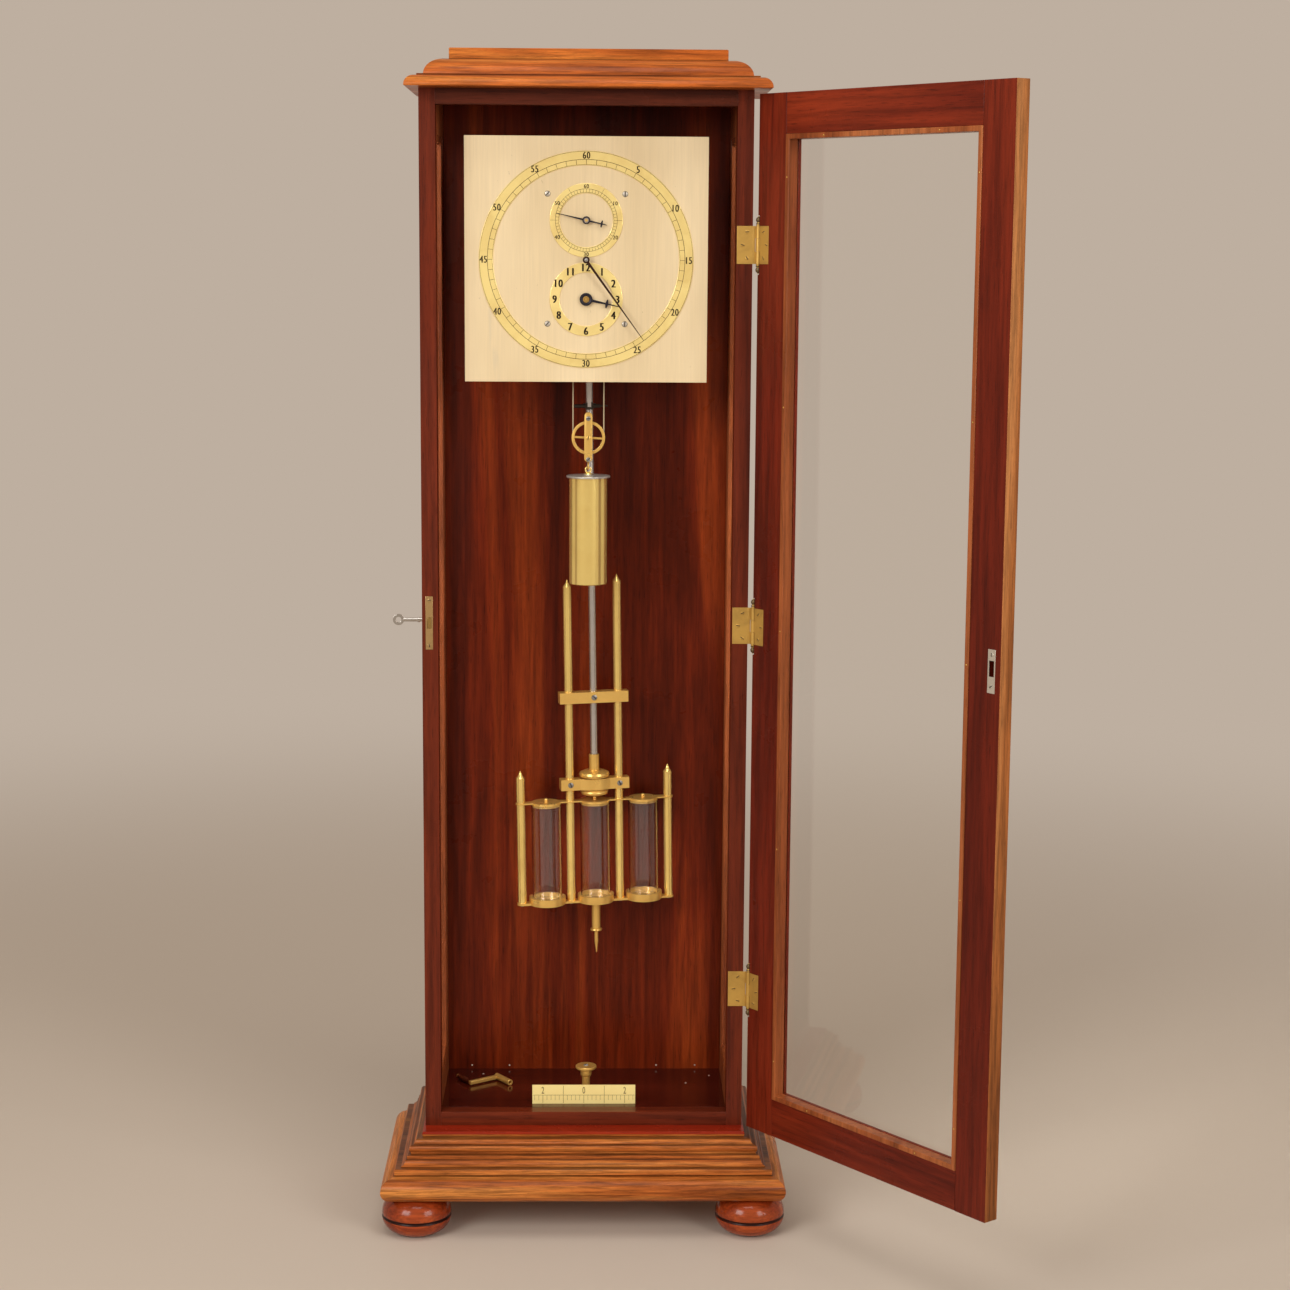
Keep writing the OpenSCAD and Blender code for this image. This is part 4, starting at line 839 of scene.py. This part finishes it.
def line_knot():
    """The line's fixed end, wrapped twice round its pin."""
    part = bmesh.new()
    for y in (WEIGHT_Y - 1.0, WEIGHT_Y + LINE_HALF):
        coil = bmesh.new()
        bmesh.ops.create_circle(coil, radius=LINE_HALF, segments=10,
                                matrix=Matrix.Translation((3.3, 0, 0)) @ TO_FRONT)
        bmesh.ops.spin(coil, geom=coil.verts[:] + coil.edges[:], cent=(0, 0, 0), axis=(0, 0, 1),
                       angle=math.tau, steps=24, use_merge=True)
        bmesh.ops.remove_doubles(coil, verts=coil.verts, dist=MERGE)
        add(part, coil, facing((WEIGHT_X + GROOVE_R, y, LINE_PIN_Z), ABACK))
    piece("line_end_wraps", "case", gut_line, part)


# Small fittings

def dial_screw_heads():
    """The four screws that hold the dial plate on its feet, each slot turned its own way."""
    low, high = DIAL_FOOT_Z
    places = [((x, DIAL_Y - CLEAR, z), AHEAD, turn) for x, z, turn in
              ((-DIAL_FOOT_X, high, 45), (DIAL_FOOT_X, high, 88),
               (-DIAL_FOOT_X, low, 50), (DIAL_FOOT_X, low, 84))]
    # reach over one rings each head with painted shade
    screws("dial_screw_heads", "case", nickel, places, radius=3.5, height=1.0, slot_w=0.9,
           replaces=("dial_screws",), reach=1.12)


def hinge_screws():
    """Three screws in each leaf, the middle one set back."""
    case_x = 217.5
    door_x = 220.5
    rows = (-17.5, 0.0, 17.5)
    middle_back = 6.0
    case_places = []
    door_places = []
    for z in HINGE_Z:
        for index, drop in enumerate(rows):
            back = middle_back if index == 1 else 0.0
            case_places.append(((case_x - back, FRONT_Y - CLEAR, z + drop), AHEAD, 30 * index + z))
            door_places.append(((door_x - back, DOOR_IN_Y + CLEAR, z + drop), ABACK, 40 * index + z))
    screws("hinge_case_screws", "case", hinge_brass, case_places,
           radius=2.7, height=0.35, slot_w=0.7)
    screws("hinge_door_screws", "door", hinge_brass, door_places,
           radius=2.7, height=0.35, slot_w=0.7, where=DOOR)


def hinge_finials():
    """Turned ball ends on the hinge pins."""
    part = bmesh.new()
    ball = [(0, 27.6), (3.3, 27.6), (3.3, 28.8), (2.0, 29.6), (2.3, 30.2), (3.5, 32.2), (3.7, 33.6),
            (3.1, 35.6), (1.7, 37.0), (0.9, 37.6), (0.6, 38.3), (0, 38.45)]
    for z in HINGE_Z:
        at_pin = Matrix.Translation((PIN.x, PIN.y, z))
        for turn in (0, 180):
            add(part, turned(ball, 24), at_pin @ Matrix.Rotation(math.radians(turn), 4, "X"))
    piece("hinge_finials", "case", pin_brass, part, angle=60)


def lock_screws():
    """Two screws in the lock's plate, and two in the strike plate of the door."""
    apart = 31.5
    screws("lock_screws", "case", lock_brass,
           [((LOCK_X, FRONT_Y - CLEAR, LOCK_Z + apart), AHEAD, 20),
            ((LOCK_X, FRONT_Y - CLEAR, LOCK_Z - apart), AHEAD, 110)],
           radius=2.6, height=0.4, slot_w=0.7)
    screws("strike_screws", "door", nickel,
           [((STRIKE_X, DOOR_IN_Y + CLEAR, STRIKE_Z[0] + 8.5), ABACK, 35),
            ((STRIKE_X, DOOR_IN_Y + CLEAR, STRIKE_Z[1] - 6.5), ABACK, 100)],
           radius=2.9, height=0.4, slot_w=0.8, where=DOOR)


def bead_pins():
    """Small brass pins that hold the glazing beads."""
    part = bmesh.new()
    dome = [(0, -0.3), (1.1, -0.3), (1.1, 0.1), (0.8, 0.45), (0, 0.6)]
    left, right = DOOR_X0 + DOOR_STILE + BEAD_W / 2, DOOR_X1 - DOOR_STILE - BEAD_W / 2
    low, high = DOOR_Z[0] + DOOR_STILE + BEAD_W / 2, DOOR_Z[1] - DOOR_STILE - BEAD_W / 2
    spots = [(x, low + (high - low) * share) for x in (left, right)
             for share in (0.04, 0.27, 0.5, 0.73, 0.96)]
    spots += [(left + (right - left) * share, z) for z in (low, high) for share in (0.2, 0.8)]
    for x, z in spots:
        add(part, turned(dome, 12), facing((x, DOOR_IN_Y + 1.2, z), ABACK))
    piece("bead_pins", "door", hinge_brass, part, DOOR, angle=60)


def panel_brads():
    """Brad heads along the bottom of the back panel and in the case floor."""
    part = bmesh.new()
    dome = [(0, -0.3), (1.3, -0.3), (1.3, 0.1), (0.9, 0.6), (0, 0.8)]
    for x in (-168, -112, 108, 166):
        add(part, turned(dome, 12), facing((x, BACK_Y, FLOOR_Z + 5), AHEAD))
    for x, y in ((150, 62), (-150, 104), (186, 96)):
        add(part, turned(dome, 12), facing((x, y, FLOOR_Z), UPWARD))
    piece("panel_brads", "case", nickel, part, angle=60)


def jar_frame_screws():
    """Screws in the two cross bars, and the screwed ends of the four rods under the jars."""
    screws("lower_bar_screws", "pendulum", screw_steel,
           [((side * INNER_ROD_X, BAR_FACE_Y, LOWER_BAR_Z), AHEAD, 112) for side in (-1, 1)],
           radius=4.0, height=1.3, slot_w=1.0, where=JARS)
    screws("upper_bar_screw", "pendulum", screw_steel,
           [((0, BAR_FACE_Y, UPPER_BAR_Z), AHEAD, 138)],
           radius=4.2, height=1.3, slot_w=1.0, where=JARS)
    part = bmesh.new()
    head = [(0, 0.3), (3.4, 0.3), (3.4, -1.2), (2.6, -2.0), (0, -2.1)]
    for x in (-OUTER_ROD_X, -INNER_ROD_X, INNER_ROD_X, OUTER_ROD_X):
        add(part, turned(head, 20), Matrix.Translation((x, 0, JAR_PLATE_Z)))
    piece("rod_end_screws", "pendulum", screw_steel, part, JARS)


def yoke_screws():
    """Two screws that hold the yoke together, and the head of the pulley's axle."""
    low = PULLEY_Z - 30.0
    high = PULLEY_Z + 27.2
    screws("yoke_screws", "weight", screw_steel,
           [((WEIGHT_X, YOKE_FACE_Y, low), AHEAD, 40), ((WEIGHT_X, YOKE_FACE_Y, high), AHEAD, 10)],
           radius=3.3, height=1.0, slot_w=0.8)
    screws("pulley_axle_head", "weight", polished_brass,
           [((WEIGHT_X, YOKE_FACE_Y, PULLEY_Z), AHEAD, 75)], radius=2.9, height=0.8, slot_w=0.7)


def beat_scale_marks():
    """Divisions and figures of the beat scale."""
    foot, short, middle, top = 1.0, 5.5, 13.0, 27.0
    figures_z = 20.2
    reach = 73
    pitch = 29.4
    part = bmesh.new()
    add(part, stroke(-reach, middle, reach, middle, SECONDS_LINE))
    for step in range(-2, 3):
        x = step * pitch
        add(part, stroke(x, foot, x, middle if step % 2 == 0 else top, MIDDLE_LINE))
    for step in range(-12, 13):
        if step % 5:
            x = step * pitch / 5
            add(part, stroke(x, short, x, middle, HAIR_LINE))
    for step, text in ((-2, "2"), (0, "0"), (2, "2")):
        add(part, figures(text, height=10.5, narrow=0.6), Matrix.Translation((step * pitch, figures_z, 0)))
    piece("beat_scale_engraving", "case", scale_wax, part,
          CASE @ Matrix.Translation((0, SCALE_Y - PROUD, FLOOR_Z)) @ TO_FRONT)
    screws("beat_scale_screws", "case", scale_brass,
           [((x, SCALE_Y + 7, FLOOR_Z + 4), UPWARD, 30) for x in (-52, 52)],
           radius=2.4, height=0.8, slot_w=0.7)


def knob_centre():
    """The screw in the top of the hold-down knob."""
    screws("knob_screw", "floor_knob", screw_steel,
           [((*KNOB, FLOOR_Z + KNOB_H), UPWARD, 20)], radius=3.6, height=1.0, slot_w=0.9)


minute_ring_marks()
seconds_ring_marks()
hour_ring_marks()
hand_bosses()
dial_screw_heads()
wound_line()
weight_line()
line_knot()
hinge_screws()
hinge_finials()
lock_screws()
bead_pins()
panel_brads()
jar_frame_screws()
yoke_screws()
beat_scale_marks()
knob_centre()


# Studio: a pale floor that fades into a pale backdrop, soft lamps, and the camera

BACKDROP = tone(190, 175, 160)
FLOOR_PALE = tone(204, 190, 174)
FLOOR_HALF = 14.0
FADE_M = (0.8, 4.5)
SOFT_LIGHT = 0.7
LAMPS = (("key_lamp", (-2.4, -3.3, 2.5), 2.0, 104), ("fill_lamp", (3.1, -3.1, 2.1), 2.0, 74),
         ("top_lamp", (0.2, -1.1, 3.6), 1.6, 28))
LAMP_AIM = Vector((0.24, 0.1, 0.85))
CAMERA_STAND = Vector((9.0, -3519.2, 1380.8))
CAMERA_TURNS = ((-1.227, "Z"), (-8.980, "X"), (-0.380, "Y"), (90, "X"))
CAMERA_LENS = 70.52


def floor_paint(name, near):
    """Keeps the clock's shadow near it, and far off shows the backdrop's own colour."""
    material, tree, shader = start_material(name)
    shader.inputs["Base Color"].default_value = near
    shader.inputs["Roughness"].default_value = 0.75
    where = node(tree, "ShaderNodeTexCoord")
    far = node(tree, "ShaderNodeVectorMath", {"operation": "LENGTH"}, _0=where.outputs["Object"])
    share = node(tree, "ShaderNodeMapRange", {"interpolation_type": "SMOOTHERSTEP"},
                 Value=far.outputs["Value"], From_Min=FADE_M[0], From_Max=FADE_M[1])
    glow = node(tree, "ShaderNodeEmission", Color=BACKDROP)
    both = node(tree, "ShaderNodeMixShader", _0=share.outputs[0], _1=shader.outputs[0], _2=glow.outputs[0])
    show(tree, both)
    return material


def studio():
    sweep = bmesh.new()
    bmesh.ops.create_grid(sweep, x_segments=1, y_segments=1, size=FLOOR_HALF)
    mesh = bpy.data.meshes.new("studio_floor")
    sweep.to_mesh(mesh)
    sweep.free()
    mesh.materials.append(floor_paint("studio floor paint", FLOOR_PALE))
    floor = bpy.data.objects.new("studio_floor", mesh)
    bpy.context.collection.objects.link(floor)
    world = bpy.data.worlds.new("studio")
    bpy.context.scene.world = world
    world.use_nodes = True
    tree = world.node_tree
    background = tree.nodes["Background"]
    background.inputs["Color"].default_value = BACKDROP
    rays = tree.nodes.new("ShaderNodeLightPath")
    seen = node(tree, "ShaderNodeMath", {"operation": "MAXIMUM"},
                _0=rays.outputs["Is Camera Ray"], _1=rays.outputs["Is Transmission Ray"])
    seen = node(tree, "ShaderNodeMath", {"operation": "MAXIMUM"},
                _0=seen.outputs[0], _1=rays.outputs["Is Glossy Ray"])
    strength = node(tree, "ShaderNodeMapRange", Value=seen.outputs[0], To_Min=SOFT_LIGHT, To_Max=1.0)
    tree.links.new(strength.outputs[0], background.inputs["Strength"])
    for settings in LAMPS:
        lamp(*settings)


def lamp(name, place_m, size, power):
    data = bpy.data.lights.new(name, "AREA")
    data.shape = "RECTANGLE"
    data.size = size
    data.size_y = size
    data.energy = power
    made = bpy.data.objects.new(name, data)
    made.location = place_m
    made.rotation_mode = "QUATERNION"
    made.rotation_quaternion = (LAMP_AIM - Vector(place_m)).to_track_quat("-Z", "Y")
    bpy.context.collection.objects.link(made)


def camera():
    data = bpy.data.cameras.new("camera")
    data.lens = CAMERA_LENS
    data.sensor_width = 36.0
    data.clip_end = 60.0
    made = bpy.data.objects.new("camera", data)
    bpy.context.collection.objects.link(made)
    stand = Matrix.Translation((CAMERA_STAND + MIDDLE) * MM)
    for degrees, axis in CAMERA_TURNS:
        stand = stand @ Matrix.Rotation(math.radians(degrees), 4, axis)
    made.matrix_world = stand
    bpy.context.scene.camera = made


camera()
studio()
bpy.context.scene.view_settings.view_transform = "Standard"
